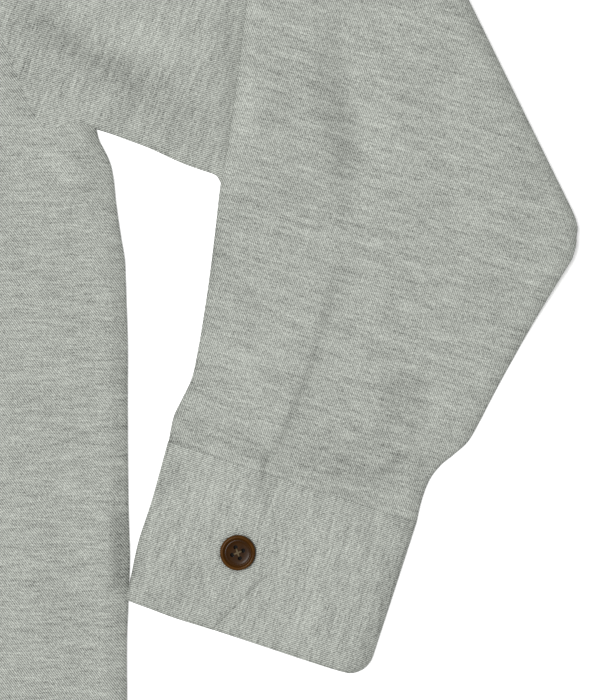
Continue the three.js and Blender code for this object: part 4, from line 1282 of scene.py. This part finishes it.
horn = resin()
sewing = thread_finish()

# %% [markdown]
# ## Joining the pieces to the frame
# Every piece rides on the part's one body and stands for its solid, which is hidden. The table
# below also lists the flat size each sheet was cut to.

# %% Ride and replace
def join(thing, material):
    thing.data.materials.clear()
    thing.data.materials.append(material)
    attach(thing, "root")


# each piece with its node, finish, flat size and area in metres, and what it rests on
PIECES = [
    (back, "back_panel", "body", (0.582, 0.722), 0.372, []),
    (front_left, "front_left", "body", (0.307, 0.722), 0.196, ["back_panel"]),
    (front_right, "front_right", "body", (0.307, 0.722), 0.196, ["back_panel"]),
    (sleeve_left, "sleeve_left", "sleeve", (0.52, 0.47), 0.190, ["back_panel"]),
    (sleeve_right, "sleeve_right", "sleeve", (0.52, 0.47), 0.190, ["back_panel"]),
    (cuff_left, "cuff_left", "cuff", (0.295, 0.0735), 0.0205, ["sleeve_left"]),
    (cuff_right, "cuff_right", "cuff", (0.295, 0.0735), 0.0205, ["sleeve_right"]),
    (stand, "collar_stand", "collar", (0.44, 0.05), 0.0125, ["back_panel"]),
    (fall, "collar_fall", "collar", (0.50, 0.09), 0.022, ["collar_stand"]),
]
for piece, node, finish, flat, area, under in PIECES:
    join(piece, cloth[finish])
    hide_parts(node)
for node, disc, thread in sewn:
    join(disc, horn)
    join(thread, sewing)
    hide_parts(node)
print("pieces", len(PIECES) + 2 * len(sewn))

# %% [markdown]
# ## Table, light and camera
# The jacket lies on a plain white table. One broad soft light stands to the upper left and the rest
# comes from all round. The camera looks straight down at the left sleeve and the side of the body.


# %% The table
TABLE_GAP = 0.0004  # metres between the table and the jacket


def table_top():
    bm = bmesh.new()
    bmesh.ops.create_grid(bm, x_segments=1, y_segments=1, size=6.0)
    table = put_in("table", mesh_of("table", bm))
    table.location = (0, 0, cad_low[2] - TABLE_GAP)
    white = Nodes("white_table").surface({
        "Base Color": (0.72, 0.72, 0.72, 1), "Roughness": 0.9, "Specular IOR Level": 0.0,
        "Emission Color": (1.0, 1.0, 1.0, 1), "Emission Strength": 0.45})
    table.data.materials.append(white)


table_top()


# %% Lights
VIEW_MIDDLE = (92.25, -99.9)  # mm from the underarm
VIEW_X = (HALF_CHEST + VIEW_MIDDLE[0]) / 1000
VIEW_Y = (UNDERARM_Y + VIEW_MIDDLE[1]) / 1000


def soft_light(name, place, aim, size, power):
    data = bpy.data.lights.new(name, "AREA")
    data.shape = "DISK"
    data.size = size
    data.energy = power
    lamp = put_in(name, data)
    lamp.location = place
    heading = mathutils.Vector(aim) - mathutils.Vector(place)
    lamp.rotation_euler = heading.to_track_quat("-Z", "Y").to_euler()


soft_light("key", (VIEW_X - 0.65, VIEW_Y + 0.11, 2.3), (VIEW_X, VIEW_Y, 0.006), 0.8, 65)
world = bpy.data.worlds.new("room")
bpy.context.scene.world = world
world.use_nodes = True
background = world.node_tree.nodes["Background"]
background.inputs["Color"].default_value = (1.0, 1.0, 1.0, 1)
background.inputs["Strength"].default_value = 0.28

# %% Camera
LENS = 100.0
SENSOR = 36.0
VIEW_HEIGHT = 0.315  # metres from the view's top to its bottom
JACKET_TOP = 0.0065
camera_data = bpy.data.cameras.new("camera")
camera_data.lens = LENS
camera_data.sensor_width = SENSOR
camera = put_in("camera", camera_data)
camera.location = (VIEW_X, VIEW_Y, JACKET_TOP + VIEW_HEIGHT * LENS / SENSOR)
bpy.context.scene.camera = camera
bpy.context.scene.view_settings.view_transform = "Standard"
bpy.context.scene.view_settings.look = "None"
